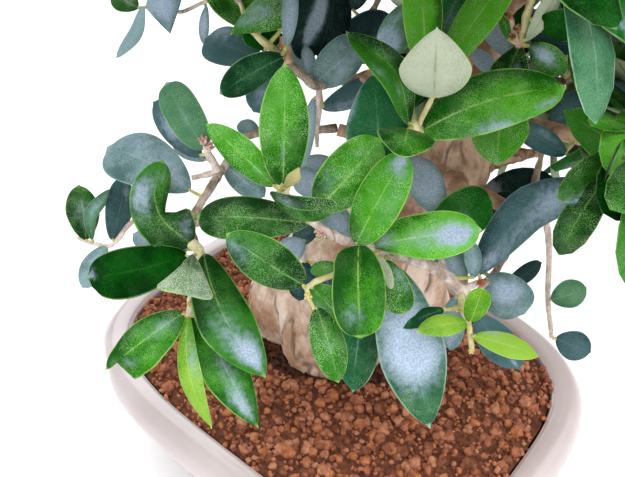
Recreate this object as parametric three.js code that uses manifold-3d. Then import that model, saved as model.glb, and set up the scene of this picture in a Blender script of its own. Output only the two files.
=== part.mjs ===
// An olive bonsai in a glazed oval pot. Millimetres, +Z up, origin at the centre of the pot's flat underside.
// X runs along the pot. The plant has axes of its own, turned on the pot by FACING: across to the right of
// its best side, back away from that side, and up from the rim of the pot.
import * as THREE from 'three';
import { mergeVertices } from 'three/addons/utils/BufferGeometryUtils.js';
import Module from 'manifold-3d';

const wasm = await Module();
wasm.setup();

// Clearances
const GAP = 0.3;
const LIMB_CLEAR = 0.8;
const SPACE_CLEAR = 0.9;
const TRUNK_CLEAR = 2;

// Pot: a squarish oval with a thick rounded lip, a wall pinched in near its corners and an inset foot
const POT = {
  openLength: 230,
  openWidth: 170,
  squareness: 3.3,
  height: 80,
  rim: 78.5,
  sides: 42,
  pinch: 4,
  pinchAt: 51,
  pinchSpan: 11,
  pinchBelow: 77,
  floor: 10,
  drainRadius: 7,
  drainSpacing: 90,
  drainSides: 20,
};
// How far the wall stands out from the opening's edge at each height, from the underside up to the lip
const OUTSIDE = [[-16, 0], [-15, 5], [-11, 6], [-7, 16], [1, 34], [7, 52], [9, 59], [13, 62],
  [14.6, 67.5], [14, 72], [12, 76], [8.5, 79.4], [5, POT.height], [2, 79.7]];
const INSIDE = [[0, POT.rim], [-1.5, 74], [-2.5, 46], [-14, 16], [-20, POT.floor]];

// Soil: fills the pot to just under the rim
const SOIL = { top: 77.2, edgeDrop: 1.2, edgeInset: 2, clear: 1, flatShares: [0.93, 0.5] };

// Trunk: swollen root base, then a leaning wedge up to the fork, then the leader
const FACING = 40.3;
const TRUNK_SIDES = 20;
const ROOTS_FADE = 62;
// The lowest sections lie level and the ones above turn square to the lean
const LEVEL_SECTIONS = 6;
// Furrows between the roots: bearing and half width in degrees, depth as a share of the base radius
const FURROWS = [[-59, 22, 0.36], [-152, 20, 0.28], [62, 20, 0.25], [122, 20, 0.25]];
// Sections up the trunk: up, across, back, half width across, half depth
const TRUNK = [[-0.8, 11, 14, 57, 38], [10, 10, 14, 57.5, 38], [24, 9, 14, 56, 37], [38, 13, 13, 51, 34],
  [52, 20, 12, 44, 30], [66, 29, 11, 35, 26], [80, 39, 10, 27, 22], [93, 48, 10, 21, 18.5],
  [105, 53.5, 10, 18, 16], [117, 56, 10, 17.5, 15], [130, 58.5, 10, 13.5, 12.5], [150, 62, 9, 10, 10],
  [172, 63.5, 9, 8.4, 8.4], [200, 59, 12, 6.6, 6.6], [226, 49, 16, 5, 5], [248, 39, 17, 3.4, 3.4]];

// Boughs: height of the foot on the trunk, tip, radius at the foot and at the tip, rise of the middle
const BOUGHS = {
  near_bough: { foot: 112, tip: [48, -65, 102], radii: [6.5, 2.8], bow: 5 },
  left_bough: { foot: 108, tip: [1, 19, 127], radii: [5, 2.8], bow: 3 },
  upper_left_bough: { foot: 166, tip: [3, 5, 157], radii: [4.2, 2.4], bow: 3 },
  near_top_bough: { foot: 140, tip: [38, -32, 153], radii: [5, 2.6], bow: 2 },
  right_bough: { foot: 100, tip: [84, -14, 100], radii: [5, 2.8], bow: 4 },
  back_right_bough: { foot: 114, tip: [72, 66, 128], radii: [6, 3], bow: 5 },
  far_right_bough: { foot: 126, tip: [108, 38, 142], radii: [5, 2.8], bow: 4 },
  right_front_bough: { foot: 134, tip: [112, -38, 148], radii: [4.8, 2.6], bow: 4 },
  high_front_bough: { foot: 176, tip: [42, -42, 222], radii: [3.8, 2.2], bow: 2 },
  high_left_bough: { foot: 196, tip: [-10, -6, 226], radii: [3.8, 2.2], bow: 2 },
  high_back_left_bough: { foot: 186, tip: [4, 58, 206], radii: [3.8, 2.2], bow: 2 },
  high_right_bough: { foot: 182, tip: [100, 4, 214], radii: [3.8, 2.2], bow: 3 },
  high_back_bough: { foot: 204, tip: [62, 62, 232], radii: [3.4, 2.2], bow: 2 },
};
const CUT_STUB = { foot: [66, 8, 117], tip: [95, 8, 121], radii: [6.2, 1.6] };

// The crown's reach, and the open side that a viewer looks in through
const CROWN = { middle: [34, 10, 172], reach: [146, 134, 140] };
const LOWEST_LEAF = 8;
const OPEN_SIDE = { eye: [-11, -276, 283], lookDown: 36.8, spread: 0.345, openAcross: 10, openBack: 8 };

// Leaves and twigs
const LEAF = {
  width: 0.4,
  thickness: 1.4,
  thickest: 0.48,
  cup: 0.05,
  droop: 0.1,
  faceUp: 0.7,
  lengths: [0.86, 1.1],
  spacing: 9,
  nearby: 50,
  touch: 0.02,
  attempts: 5,
  stray: 22,
};
const SHOOT = { pairsFrom: 0.36, pairsTo: 0.94, spread: [66, 34], lastPair: 0.9 };
const SEEDED = {
  shoot: [24, 48],
  longShoot: 30,
  leaf: [36, 44],
  feet: [0.25, 0.98],
  outward: 0.75,
  upward: 0.2,
};
// Half outlines, as shares of the leaf's length and half width: full on named shoots, plain on seeded ones
const FULL_OUTLINE = [[0, 0], [0.28, 0.8], [0.68, 0.94], [1, 0]];
const PLAIN_OUTLINE = [[0, 0], [0.46, 1.08], [1, 0]];
const TWIG = { sides: 3, root: 1.5, tip: 0.9, steps: 1, tested: [0.25, 0.5, 0.75, 1] };
const BOUGH_SIDES = 7;
const BOUGH_STEPS = 4;
const STEM_SIDES = 5;
const STEM_TIP = 1.5;
const STEM_SHARE = 0.92;
const STEM_LEAD = 5;
const GOLDEN_TURN = 2.39996;

// Masses of foliage: each has a centre of its space, a stem that starts at its bough's tip, and either a
// number of seeded shoots or named ones (foot, tip, pairs of leaves, leaf length, turn of the first pair)
const MASSES = {
  near_foliage: {
    bough: 'near_bough',
    centre: [5, -80, 122],
    stem: [[22, -70, 120], [5, -73, 130], [-9, -73, 138]],
    shoots: [
      [[-9, -73, 138], [-22, -70, 153], 2, 42, 10],
      [[-1, -74, 132], [-15, -90, 121], 2, 30, 60],
      [[5, -73, 130], [15, -82, 141], 1, 38, 20],
      [[22, -70, 120], [22, -86, 108], 1, 48, 80],
      [[38, -67, 112], [40, -80, 118], 1, 34, 0],
      [[47, -66, 104], [50, -90, 93], 2, 22, 45],
      [[40, -67, 110], [52, -62, 122], 1, 34, 30],
    ],
  },
  left_foliage: {
    bough: 'left_bough',
    centre: [-72, -38, 109],
    stem: [[-39, 2, 133], [-50, -17, 125], [-58, -40, 114], [-59, -64, 99]],
    shoots: [
      [[-59, -64, 99], [-60, -80, 88], 2, 44, 0],
      [[-58, -44, 112], [-56, -60, 108], 1, 44, 60],
      [[-58, -40, 114], [-72, -44, 116], 1, 40, 90],
      [[-50, -17, 125], [-62, -22, 140], 2, 42, 0],
      [[-45, -8, 129], [-78, -12, 122], 2, 40, 50],
      [[-58, -40, 114], [-104, -13, 84], 3, 34, 20],
      [[-59, -56, 104], [-78, -70, 100], 1, 40, 30],
    ],
  },
  upper_left_foliage: {
    bough: 'upper_left_bough',
    centre: [-24, -10, 178],
    stem: [[-8, -7, 160], [-18, -11, 170], [-23, -12, 176]],
    shoots: [
      [[-23, -12, 176], [-38, -16, 198], 2, 38, 0],
      [[-21, -12, 174], [-42, -8, 176], 1, 36, 40],
      [[-18, -11, 170], [-10, -20, 190], 2, 38, 70],
      [[-8, -7, 160], [-14, -10, 146], 1, 34, 0],
      [[-14, -9, 166], [-22, 8, 188], 2, 36, 20],
    ],
  },
  near_top_foliage: {
    bough: 'near_top_bough',
    centre: [34, -54, 178],
    stem: [[32, -46, 160], [27, -60, 170]],
    shoots: [
      [[27, -60, 170], [24, -57, 194], 2, 42, 0],
      [[27, -60, 170], [34, -74, 176], 2, 40, 45],
      [[32, -46, 160], [58, -38, 178], 2, 40, 10],
      [[32, -46, 160], [16, -42, 168], 1, 36, 60],
      [[30, -52, 165], [48, -56, 160], 1, 40, 0],
    ],
  },
  right_foliage: {
    bough: 'right_bough',
    centre: [92, -34, 103],
    stem: [[92, -26, 104]],
    shoots: [
      [[86, -17, 101], [70, -44, 92], 2, 42, 20],
      [[88, -20, 102], [82, -38, 117], 2, 42, 60],
      [[92, -26, 104], [112, -46, 96], 2, 42, 10],
      [[90, -24, 103], [108, -26, 88], 2, 40, 50],
      [[92, -26, 104], [112, -22, 116], 2, 40, 0],
    ],
  },
  back_right_foliage: { bough: 'back_right_bough', centre: [72, 92, 138], seeded: 10, seed: 23 },
  far_right_foliage: { bough: 'far_right_bough', centre: [138, 42, 148], seeded: 9, seed: 37 },
  right_front_foliage: { bough: 'right_front_bough', centre: [126, -62, 156], seeded: 9, seed: 41 },
  high_front_foliage: { bough: 'high_front_bough', centre: [36, -72, 240], seeded: 9, seed: 53 },
  high_left_foliage: { bough: 'high_left_bough', centre: [-40, -10, 238], seeded: 9, seed: 61 },
  high_back_left_foliage: { bough: 'high_back_left_bough', centre: [-26, 80, 206], seeded: 9, seed: 71 },
  high_right_foliage: { bough: 'high_right_bough', centre: [116, -2, 224], seeded: 9, seed: 83 },
  high_back_foliage: { bough: 'high_back_bough', centre: [64, 84, 232], seeded: 9, seed: 97 },
  top_foliage: { bough: 'leader', centre: [34, 14, 276], seeded: 10, seed: 101 },
};

const GLAZE = { color: 0xddd0cf, roughness: 0.35 };
const EARTH = { color: 0x8b5842, roughness: 1 };
const BARK = { color: 0xb3967f, roughness: 0.9 };
const FOLIAGE = { color: 0x2f7a35, roughness: 0.45 };

const radians = THREE.MathUtils.degToRad;
const lerp = THREE.MathUtils.lerp;
const vector = (list) => new THREE.Vector3(...list);
const UP = new THREE.Vector3(0, 0, 1);

// A point in the plant's axes becomes a point of the part
function place(point) {
  return point.clone().applyAxisAngle(UP, radians(FACING)).add(new THREE.Vector3(0, 0, POT.rim));
}

// A repeatable source of numbers from 0 to 1
function seededNumbers(seed) {
  let state = seed;
  return () => {
    state = (state + 0x6d2b79f5) | 0;
    let mixed = Math.imul(state ^ (state >>> 15), 1 | state);
    mixed = (mixed + Math.imul(mixed ^ (mixed >>> 7), 61 | mixed)) ^ mixed;
    return ((mixed ^ (mixed >>> 14)) >>> 0) / 4294967296;
  };
}

// Solids and meshes
function closedGeometry(points, faces) {
  const geometry = new THREE.BufferGeometry().setFromPoints(points);
  let volume = 0;
  for (const [a, b, c] of faces) volume += points[a].dot(points[b].clone().cross(points[c]));
  const outward = volume > 0 ? faces : faces.map(([a, b, c]) => [a, c, b]);
  geometry.setIndex(outward.flat());
  return geometry;
}

// Skins a stack of rings and closes both ends, with a point in the middle of an end of more than three sides
function loft(rings) {
  const sides = rings[0].length;
  const points = rings.flat();
  const faces = [];
  for (let r = 0; r + 1 < rings.length; r++) {
    for (let s = 0; s < sides; s++) {
      const a = r * sides + s;
      const b = r * sides + (s + 1) % sides;
      faces.push([a, b, b + sides], [a, b + sides, a + sides]);
    }
  }
  const closeEnd = (first, flip) => {
    if (sides === 3) {
      faces.push(flip ? [first, first + 2, first + 1] : [first, first + 1, first + 2]);
      return;
    }
    const middle = new THREE.Vector3();
    for (let s = 0; s < sides; s++) middle.addScaledVector(points[first + s], 1 / sides);
    points.push(middle);
    for (let s = 0; s < sides; s++) {
      const a = first + s;
      const b = first + (s + 1) % sides;
      faces.push(flip ? [points.length - 1, b, a] : [points.length - 1, a, b]);
    }
  };
  closeEnd(0, true);
  closeEnd((rings.length - 1) * sides, false);
  return closedGeometry(points, faces);
}

function solid(geometry) {
  const bare = new THREE.BufferGeometry();
  bare.setAttribute('position', geometry.getAttribute('position'));
  bare.setIndex(geometry.getIndex());
  const merged = mergeVertices(bare, 1e-4);
  return new wasm.Manifold(new wasm.Mesh({
    numProp: 3,
    vertProperties: new Float32Array(merged.getAttribute('position').array),
    triVerts: new Uint32Array(merged.getIndex().array),
  }));
}

function geometryOf(body) {
  const mesh = body.getMesh();
  const geometry = new THREE.BufferGeometry();
  geometry.setAttribute('position', new THREE.BufferAttribute(new Float32Array(mesh.vertProperties), 3));
  geometry.setIndex(new THREE.BufferAttribute(new Uint32Array(mesh.triVerts), 1));
  geometry.computeVertexNormals();
  return geometry;
}

// The largest of the separate pieces of a body, with loose scraps left out
function largestPiece(body) {
  const pieces = body.decompose();
  return pieces.reduce((best, piece) => (piece.volume() > best.volume() ? piece : best));
}

function partMesh(name, body, finish) {
  const mesh = new THREE.Mesh(geometryOf(body), new THREE.MeshStandardMaterial({ metalness: 0, ...finish }));
  mesh.name = name;
  return mesh;
}

// A tapering limb of round section along a smooth line through the points
function limbRings(points, radii, sides, steps, startAlong) {
  const line = points.length > 2 ? new THREE.CatmullRomCurve3(points) : new THREE.LineCurve3(...points);
  const side = new THREE.Vector3(0.31, 0.87, 0.38);
  const rings = [];
  for (let k = 0; k <= steps; k++) {
    const along = k === 0 && startAlong ? startAlong : line.getTangentAt(k / steps);
    side.addScaledVector(along, -side.dot(along)).normalize();
    const other = along.clone().cross(side);
    const radius = lerp(radii[0], radii[1], k / steps);
    const middle = line.getPointAt(k / steps);
    rings.push(Array.from({ length: sides }, (_, s) => {
      const turn = (2 * Math.PI * s) / sides;
      return middle.clone()
        .addScaledVector(side, radius * Math.cos(turn))
        .addScaledVector(other, radius * Math.sin(turn));
    }));
  }
  return rings;
}

function limb(points, radii, sides, steps, startAlong) {
  const start = startAlong && startAlong.clone().applyAxisAngle(UP, radians(FACING));
  return solid(loft(limbRings(points.map(place), radii, sides, steps, start)));
}

// Pot
function ovalRing(grow, height, pinchShare) {
  return Array.from({ length: POT.sides }, (_, s) => {
    const turn = (2 * Math.PI * s) / POT.sides;
    const power = 2 / POT.squareness;
    const stretch = (part, half) => half * Math.sign(part) * Math.abs(part) ** power;
    const cornerTurn = Math.abs(Math.abs(turn - Math.PI) - Math.PI / 2);
    const fromCorner = 90 - THREE.MathUtils.radToDeg(cornerTurn) - POT.pinchAt;
    const out = grow - pinchShare * POT.pinch * Math.exp(-((fromCorner / POT.pinchSpan) ** 2));
    return new THREE.Vector3(
      stretch(Math.cos(turn), POT.openLength / 2 + out),
      stretch(Math.sin(turn), POT.openWidth / 2 + out),
      height,
    );
  });
}

function makePot() {
  const outer = OUTSIDE.map(([grow, height]) => ovalRing(grow, height, height < POT.pinchBelow ? 1 : 0));
  const inner = INSIDE.map(([grow, height]) => ovalRing(grow, height, 0));
  let pot = solid(loft([...outer, ...inner]));
  for (const side of [-1, 1]) {
    const length = 4 * POT.floor;
    const drain = new THREE.CylinderGeometry(POT.drainRadius, POT.drainRadius, length, POT.drainSides);
    drain.rotateX(Math.PI / 2).translate((side * POT.drainSpacing) / 2, 0, 0);
    pot = pot.subtract(solid(drain));
  }
  return pot;
}

function makeSoil() {
  const walls = INSIDE.filter(([, height]) => height < SOIL.top - SOIL.edgeDrop).reverse();
  const sides = walls.map(([grow, height], k) => {
    const lift = k === 0 ? GAP : 0;
    return ovalRing(grow - SOIL.clear, height + lift, 0);
  });
  const edge = ovalRing(-SOIL.edgeInset, SOIL.top - SOIL.edgeDrop, 0);
  const tops = SOIL.flatShares.map((share) => edge.map((point) => new THREE.Vector3(
    point.x * share, point.y * share, SOIL.top)));
  return solid(loft([...sides, edge, ...tops]));
}

// Trunk
function furrowShare(bearing) {
  let depth = 0;
  for (const [at, halfWidth, share] of FURROWS) {
    const off = ((THREE.MathUtils.radToDeg(bearing) - at + 540) % 360) - 180;
    depth += share * Math.exp(-((off / halfWidth) ** 2));
  }
  return depth;
}

function trunkRings(grow) {
  return TRUNK.map(([up, across, back, wide, deep], k) => {
    const next = TRUNK[Math.min(k + 1, TRUNK.length - 1)];
    const last = TRUNK[Math.max(k - 1, 0)];
    const lean = new THREE.Vector3(next[1] - last[1], next[2] - last[2], next[0] - last[0]).normalize();
    const tilt = new THREE.Quaternion().setFromUnitVectors(UP, lean);
    tilt.slerp(new THREE.Quaternion(), Math.max(0, 1 - k / LEVEL_SECTIONS));
    const fade = Math.max(0, 1 - Math.max(0, up) / ROOTS_FADE);
    return Array.from({ length: TRUNK_SIDES }, (_, s) => {
      const bearing = (2 * Math.PI * s) / TRUNK_SIDES;
      const share = 1 - fade * furrowShare(bearing);
      return place(new THREE.Vector3(
        Math.cos(bearing) * (wide * share + grow), Math.sin(bearing) * (deep * share + grow), 0)
        .applyQuaternion(tilt)
        .add(new THREE.Vector3(across, back, up)));
    });
  });
}

function trunkPoint(up) {
  const k = TRUNK.findIndex((section) => section[0] > up);
  const [low, high] = [TRUNK[k - 1], TRUNK[k]];
  const share = (up - low[0]) / (high[0] - low[0]);
  return new THREE.Vector3(lerp(low[1], high[1], share), lerp(low[2], high[2], share), up);
}

// Boughs: each starts on the trunk's centre line and is trimmed back to just clear of the trunk
function boughPoints(bough) {
  const foot = trunkPoint(bough.foot);
  const tip = vector(bough.tip);
  const middle = foot.clone().lerp(tip, 0.5).add(new THREE.Vector3(0, 0, bough.bow));
  return [foot, middle, tip];
}

const leaderTip = vector([TRUNK.at(-1)[1], TRUNK.at(-1)[2], TRUNK.at(-1)[0]]);
const limbParts = [];

function noteLimb(points, radii, owner) {
  for (let k = 0; k + 1 < points.length; k++) {
    const radius = lerp(radii[0], radii[1], k / (points.length - 1));
    limbParts.push({ line: new THREE.Line3(points[k], points[k + 1]), radius, owner });
  }
}

// Foliage rules: each test says whether a point may hold leaf or twig
function inOwnSpace(point, name, halfThick) {
  const own = vector(MASSES[name].centre);
  return Object.entries(MASSES).every(([other, mass]) => {
    if (other === name) return true;
    const far = vector(mass.centre);
    const margin = (point.distanceToSquared(far) - point.distanceToSquared(own)) / (2 * own.distanceTo(far));
    return margin > SPACE_CLEAR + halfThick;
  });
}

function clearOfLimbs(point, name, halfThick) {
  const nearest = new THREE.Vector3();
  return limbParts.every((part) => {
    const off = part.line.closestPointToPoint(point, true, nearest).distanceTo(point);
    return part.owner === name || off > part.radius + LIMB_CLEAR + halfThick;
  });
}

function clearOfTrunk(point) {
  return TRUNK.every(([up, across, back, wide, deep], k) => {
    const next = TRUNK[k + 1];
    if (!next || point.z < up - TRUNK_CLEAR || point.z > next[0] + TRUNK_CLEAR) return true;
    const share = THREE.MathUtils.clamp((point.z - up) / (next[0] - up), 0, 1);
    const offAcross = point.x - lerp(across, next[1], share);
    const offBack = point.y - lerp(back, next[2], share);
    const reach = [lerp(wide, next[3], share) + TRUNK_CLEAR, lerp(deep, next[4], share) + TRUNK_CLEAR];
    return (offAcross / reach[0]) ** 2 + (offBack / reach[1]) ** 2 > 1;
  });
}

function inCrown(point) {
  const share = point.clone().sub(vector(CROWN.middle)).divide(vector(CROWN.reach));
  return share.lengthSq() < 1;
}

// The open side lets a viewer see the named shoots and the trunk, so the seeded shoots keep out of it
function inOpenSide(point) {
  const down = radians(OPEN_SIDE.lookDown);
  const from = point.clone().sub(vector(OPEN_SIDE.eye));
  const ahead = from.y * Math.cos(down) - from.z * Math.sin(down);
  const high = from.y * Math.sin(down) + from.z * Math.cos(down);
  const seen = Math.abs(from.x) < OPEN_SIDE.spread * ahead && Math.abs(high) < OPEN_SIDE.spread * ahead;
  return seen && (point.x < OPEN_SIDE.openAcross || point.y < OPEN_SIDE.openBack);
}

// Leaves: a folded blade with its points round the edge, one above its middle and one below
function leafFrame(foot, along, facing, length) {
  const normal = facing.clone().addScaledVector(along, -facing.dot(along)).normalize();
  const side = normal.clone().cross(along);
  const width = LEAF.width * length;
  return (share, across, rise) => {
    const cup = LEAF.cup * width * Math.abs(across) * 2;
    const droop = LEAF.droop * length * share ** 2;
    return foot.clone()
      .addScaledVector(along, share * length)
      .addScaledVector(side, (across * width) / 2)
      .addScaledVector(normal, rise + cup - droop);
  };
}

function leafPoints(at, outline) {
  const right = outline.map(([share, across]) => at(share, across, 0));
  const left = outline.slice(1, -1).reverse().map(([share, across]) => at(share, -across, 0));
  const middles = [1, -1].map((way) => at(LEAF.thickest, 0, (way * LEAF.thickness) / 2));
  return [...right, ...left, ...middles];
}

function leafSolid(points) {
  const edge = points.length - 2;
  const faces = [];
  for (let k = 0; k < edge; k++) {
    const next = (k + 1) % edge;
    faces.push([edge, k, next], [edge + 1, next, k]);
  }
  return solid(closedGeometry(points.map(place), faces));
}

function leafSamples(at) {
  const samples = [];
  for (const share of [0.12, 0.28, 0.45, 0.62, 0.8, 1]) {
    for (const across of [-0.9, -0.45, 0, 0.45, 0.9]) samples.push(at(share, share === 1 ? 0 : across, 0));
  }
  return samples;
}

// A leaf runs into a twig or another leaf where their bodies share space, unless both spring from one node
function runsInto(grown, body, node, middle) {
  const meets = (other) => other.body.intersect(body).volume() > LEAF.touch;
  const twigs = grown.limbs.slice(0, -1);
  const others = grown.leaves.filter((other) => other.node !== node
    && other.middle.distanceTo(middle) < LEAF.nearby);
  return twigs.some(meets) || others.some(meets);
}

// Tries a few rolls and spreads for one leaf and keeps the first that has room
function growLeaf(grown, allowed, node, along, roll, spread, length) {
  const level = along.clone().cross(UP).normalize();
  const facing = along.clone().addScaledVector(UP, LEAF.faceUp);
  for (let attempt = 0; attempt < LEAF.attempts; attempt++) {
    const stray = LEAF.stray * (attempt + 1);
    const out = level.clone().applyAxisAngle(along, radians(roll + stray * (grown.random() - 0.5)));
    const open = radians(spread + stray * (grown.random() - 0.3));
    const direction = along.clone().multiplyScalar(Math.cos(open)).addScaledVector(out, Math.sin(open));
    const grownLength = length * lerp(...LEAF.lengths, grown.random());
    const at = leafFrame(node, direction.normalize(), facing, grownLength);
    const middle = at(LEAF.thickest, 0, 0);
    const crowded = grown.leaves.some((other) => other.middle.distanceTo(middle) < LEAF.spacing);
    if (crowded || !leafSamples(at).every(allowed)) continue;
    const body = leafSolid(leafPoints(at, grown.outline));
    if (runsInto(grown, body, node, middle)) continue;
    grown.leaves.push({ body, node, middle });
    return;
  }
}

// One shoot: a twig with opposite pairs of leaves, each pair a quarter turn on from the last
function growShoot(grown, name, foot, tip, pairs, leafLength, turn, seeded) {
  const mayHold = (point, halfThick) => point.z > LOWEST_LEAF && inOwnSpace(point, name, halfThick)
    && clearOfLimbs(point, name, halfThick) && clearOfTrunk(point)
    && (!seeded || (inCrown(point) && !inOpenSide(point)));
  const allowed = (point) => mayHold(point, 0);
  const line = new THREE.LineCurve3(foot, tip);
  for (const share of TWIG.tested) if (!mayHold(line.getPoint(share), TWIG.root)) return;
  grown.limbs.push({ body: limb([foot, tip], [TWIG.root, TWIG.tip], TWIG.sides, TWIG.steps) });
  for (let pair = 0; pair < pairs; pair++) {
    const share = pairs === 1 ? SHOOT.pairsTo : lerp(SHOOT.pairsFrom, SHOOT.pairsTo, pair / (pairs - 1));
    const node = line.getPointAt(share);
    const spread = lerp(...SHOOT.spread, share);
    const length = pair === pairs - 1 ? SHOOT.lastPair * leafLength : leafLength;
    for (const half of [0, 180]) {
      growLeaf(grown, allowed, node, line.getTangentAt(share), turn + 90 * pair + half, spread, length);
    }
  }
}

// Seeded shoots leave the stem by the golden turn and reach outwards from the crown's middle and upwards
function growSeeded(grown, name, mass, stem) {
  const outward = vector(mass.centre).sub(vector(CROWN.middle)).normalize();
  for (let k = 0; k < mass.seeded; k++) {
    const share = (k + 0.5) / mass.seeded;
    const foot = stem.getPointAt(lerp(...SEEDED.feet, share));
    const height = 1 - 2 * share;
    const ring = Math.sqrt(1 - height * height);
    const turn = GOLDEN_TURN * k + mass.seed;
    const reach = new THREE.Vector3(ring * Math.cos(turn), ring * Math.sin(turn), height)
      .addScaledVector(outward, SEEDED.outward)
      .addScaledVector(UP, SEEDED.upward)
      .normalize();
    const length = lerp(...SEEDED.shoot, grown.random());
    const tip = foot.clone().addScaledVector(reach, length);
    const pairs = length > SEEDED.longShoot ? 3 : 2;
    const leafLength = lerp(...SEEDED.leaf, grown.random());
    growShoot(grown, name, foot, tip, pairs, leafLength, 90 * grown.random(), true);
  }
}

// Where a mass starts: the end of its bough or of the leader, and the way that end points
function massRoot(bough) {
  if (bough === 'leader') {
    const below = TRUNK.at(-2);
    return {
      end: leaderTip,
      along: leaderTip.clone().sub(new THREE.Vector3(below[1], below[2], below[0])).normalize(),
      radius: TRUNK.at(-1)[3] * STEM_SHARE,
    };
  }
  const line = new THREE.CatmullRomCurve3(boughPoints(BOUGHS[bough]));
  return { end: line.getPoint(1), along: line.getTangent(1), radius: BOUGHS[bough].radii[1] * STEM_SHARE };
}

// A mass's stem runs on from its bough's tip, just clear of it, to the middle of its space
function stemOf(mass) {
  const root = massRoot(mass.bough);
  const through = (mass.stem ?? [mass.centre]).map(vector);
  const start = root.end.clone().addScaledVector(root.along, GAP);
  const points = [start, start.clone().addScaledVector(root.along, STEM_LEAD), ...through];
  return { points, radii: [root.radius, STEM_TIP], along: root.along };
}

function growMass(name, mass, stem) {
  const steps = stem.points.length + 1;
  const grown = {
    limbs: [{ body: limb(stem.points, stem.radii, STEM_SIDES, steps, stem.along) }],
    leaves: [],
    outline: mass.seeded ? PLAIN_OUTLINE : FULL_OUTLINE,
    random: seededNumbers(mass.seed ?? 7),
  };
  for (const [foot, tip, pairs, leafLength, turn] of mass.shoots ?? []) {
    growShoot(grown, name, vector(foot), vector(tip), pairs, leafLength, turn, false);
  }
  if (mass.seeded) growSeeded(grown, name, mass, new THREE.CatmullRomCurve3(stem.points));
  return largestPiece(wasm.Manifold.union([...grown.limbs, ...grown.leaves].map((piece) => piece.body)));
}

const bonsai = new THREE.Group();
bonsai.add(partMesh('pot', makePot(), GLAZE));
bonsai.add(partMesh('soil', makeSoil(), EARTH));
bonsai.add(partMesh('trunk', solid(loft(trunkRings(0))), BARK));

const trunkClearance = solid(loft(trunkRings(GAP)));
for (const [name, bough] of Object.entries(BOUGHS)) {
  const points = boughPoints(bough);
  const body = limb(points, bough.radii, BOUGH_SIDES, BOUGH_STEPS).subtract(trunkClearance);
  bonsai.add(partMesh(name, largestPiece(body), BARK));
  noteLimb(points, bough.radii);
}
const stubPoints = [vector(CUT_STUB.foot), vector(CUT_STUB.tip)];
const stub = limb(stubPoints, CUT_STUB.radii, BOUGH_SIDES, 1).subtract(trunkClearance);
bonsai.add(partMesh('cut_stub', largestPiece(stub), BARK));
noteLimb(stubPoints, CUT_STUB.radii);

const stems = Object.entries(MASSES).map(([name, mass]) => [name, mass, stemOf(mass)]);
for (const [name, , stem] of stems) noteLimb(stem.points, stem.radii, name);
for (const [name, mass, stem] of stems) {
  bonsai.add(partMesh(name, growMass(name, mass, stem), FOLIAGE));
}

export default bonsai;
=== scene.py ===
import math
import random

import bpy
import numpy as np
from mathutils import Matrix, Vector, noise


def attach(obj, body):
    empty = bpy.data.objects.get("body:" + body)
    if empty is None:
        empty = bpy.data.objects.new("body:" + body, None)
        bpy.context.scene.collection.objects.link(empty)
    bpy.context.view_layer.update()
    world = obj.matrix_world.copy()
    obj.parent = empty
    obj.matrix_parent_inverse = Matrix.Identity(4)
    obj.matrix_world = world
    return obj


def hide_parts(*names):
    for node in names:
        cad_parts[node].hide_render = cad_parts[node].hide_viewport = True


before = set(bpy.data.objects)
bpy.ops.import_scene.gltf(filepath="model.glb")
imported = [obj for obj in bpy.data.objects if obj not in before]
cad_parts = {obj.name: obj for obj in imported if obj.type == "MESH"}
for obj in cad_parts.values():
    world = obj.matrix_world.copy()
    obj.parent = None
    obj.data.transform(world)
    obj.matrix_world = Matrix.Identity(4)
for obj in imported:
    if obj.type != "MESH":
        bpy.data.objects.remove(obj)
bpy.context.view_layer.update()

# An olive bonsai in a glazed oval pot. Lengths here are millimetres and become metres as each mesh is made.
# The plant has axes of its own, turned on the pot by FACING: across, back from its best side, up from the rim.
MM = 0.001
FACING = math.radians(40.3)
RIM = 78.5

# Camera: where it stands in the plant's axes, how far it looks down, and its focal length in picture widths
EYE = np.array([-11.0, -275.75, 283.34])
LOOK_DOWN = math.radians(36.8)
PICTURE = (625, 477)
FOCAL_PX = 700.0
SENSOR_MM = 36.0

# Pot and soil
OPEN_LENGTH = 230.0
OPEN_WIDTH = 170.0
SQUARENESS = 3.3
PINCH = {"deep": 4.0, "at": 51.0, "span": 11.0, "whole_below": 68.0, "none_above": 77.0, "inner_below": 60.0}
OUTSIDE = [(-16, 0), (-15, 5), (-11, 6), (-7, 16), (1, 34), (7, 52), (9, 59), (13, 62), (14.6, 67.5), (14, 72),
           (12, 76), (8.5, 79.4), (5, 80), (2, 79.7)]
INSIDE = [(0, 78.5), (-1.5, 74), (-2.5, 46)]
SOIL_TOP = 77.2
GRAINS = {"count": 1300, "size": (1.7, 3.3), "splits": 2, "seed": 19, "margin": 4.0}
CRUMBS = {"count": 4800, "size": (0.8, 1.7), "splits": 1, "seed": 29, "margin": 1.2}

# Trunk sections: up, across, back, half width across, half depth
TRUNK = np.array([
    [-0.8, 11, 14, 57, 38], [10, 10, 14, 57.5, 38], [24, 9, 14, 56, 37], [38, 13, 13, 51, 34],
    [52, 20, 12, 44, 30], [66, 29, 11, 35, 26], [80, 39, 10, 27, 22], [93, 48, 10, 21, 18.5],
    [105, 53.5, 10, 18, 16], [117, 56, 10, 17.5, 15], [130, 58.5, 10, 13.5, 12.5], [150, 62, 9, 10, 10],
    [172, 63.5, 9, 8.4, 8.4], [200, 59, 12, 6.6, 6.6], [226, 49, 16, 5, 5], [248, 39, 17, 3.4, 3.4]])
FURROWS = [(-59, 22, 0.36), (-152, 20, 0.28), (62, 20, 0.25), (122, 20, 0.25)]
ROOTS_FADE = 62.0
LEVEL_SECTIONS = 6

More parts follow.
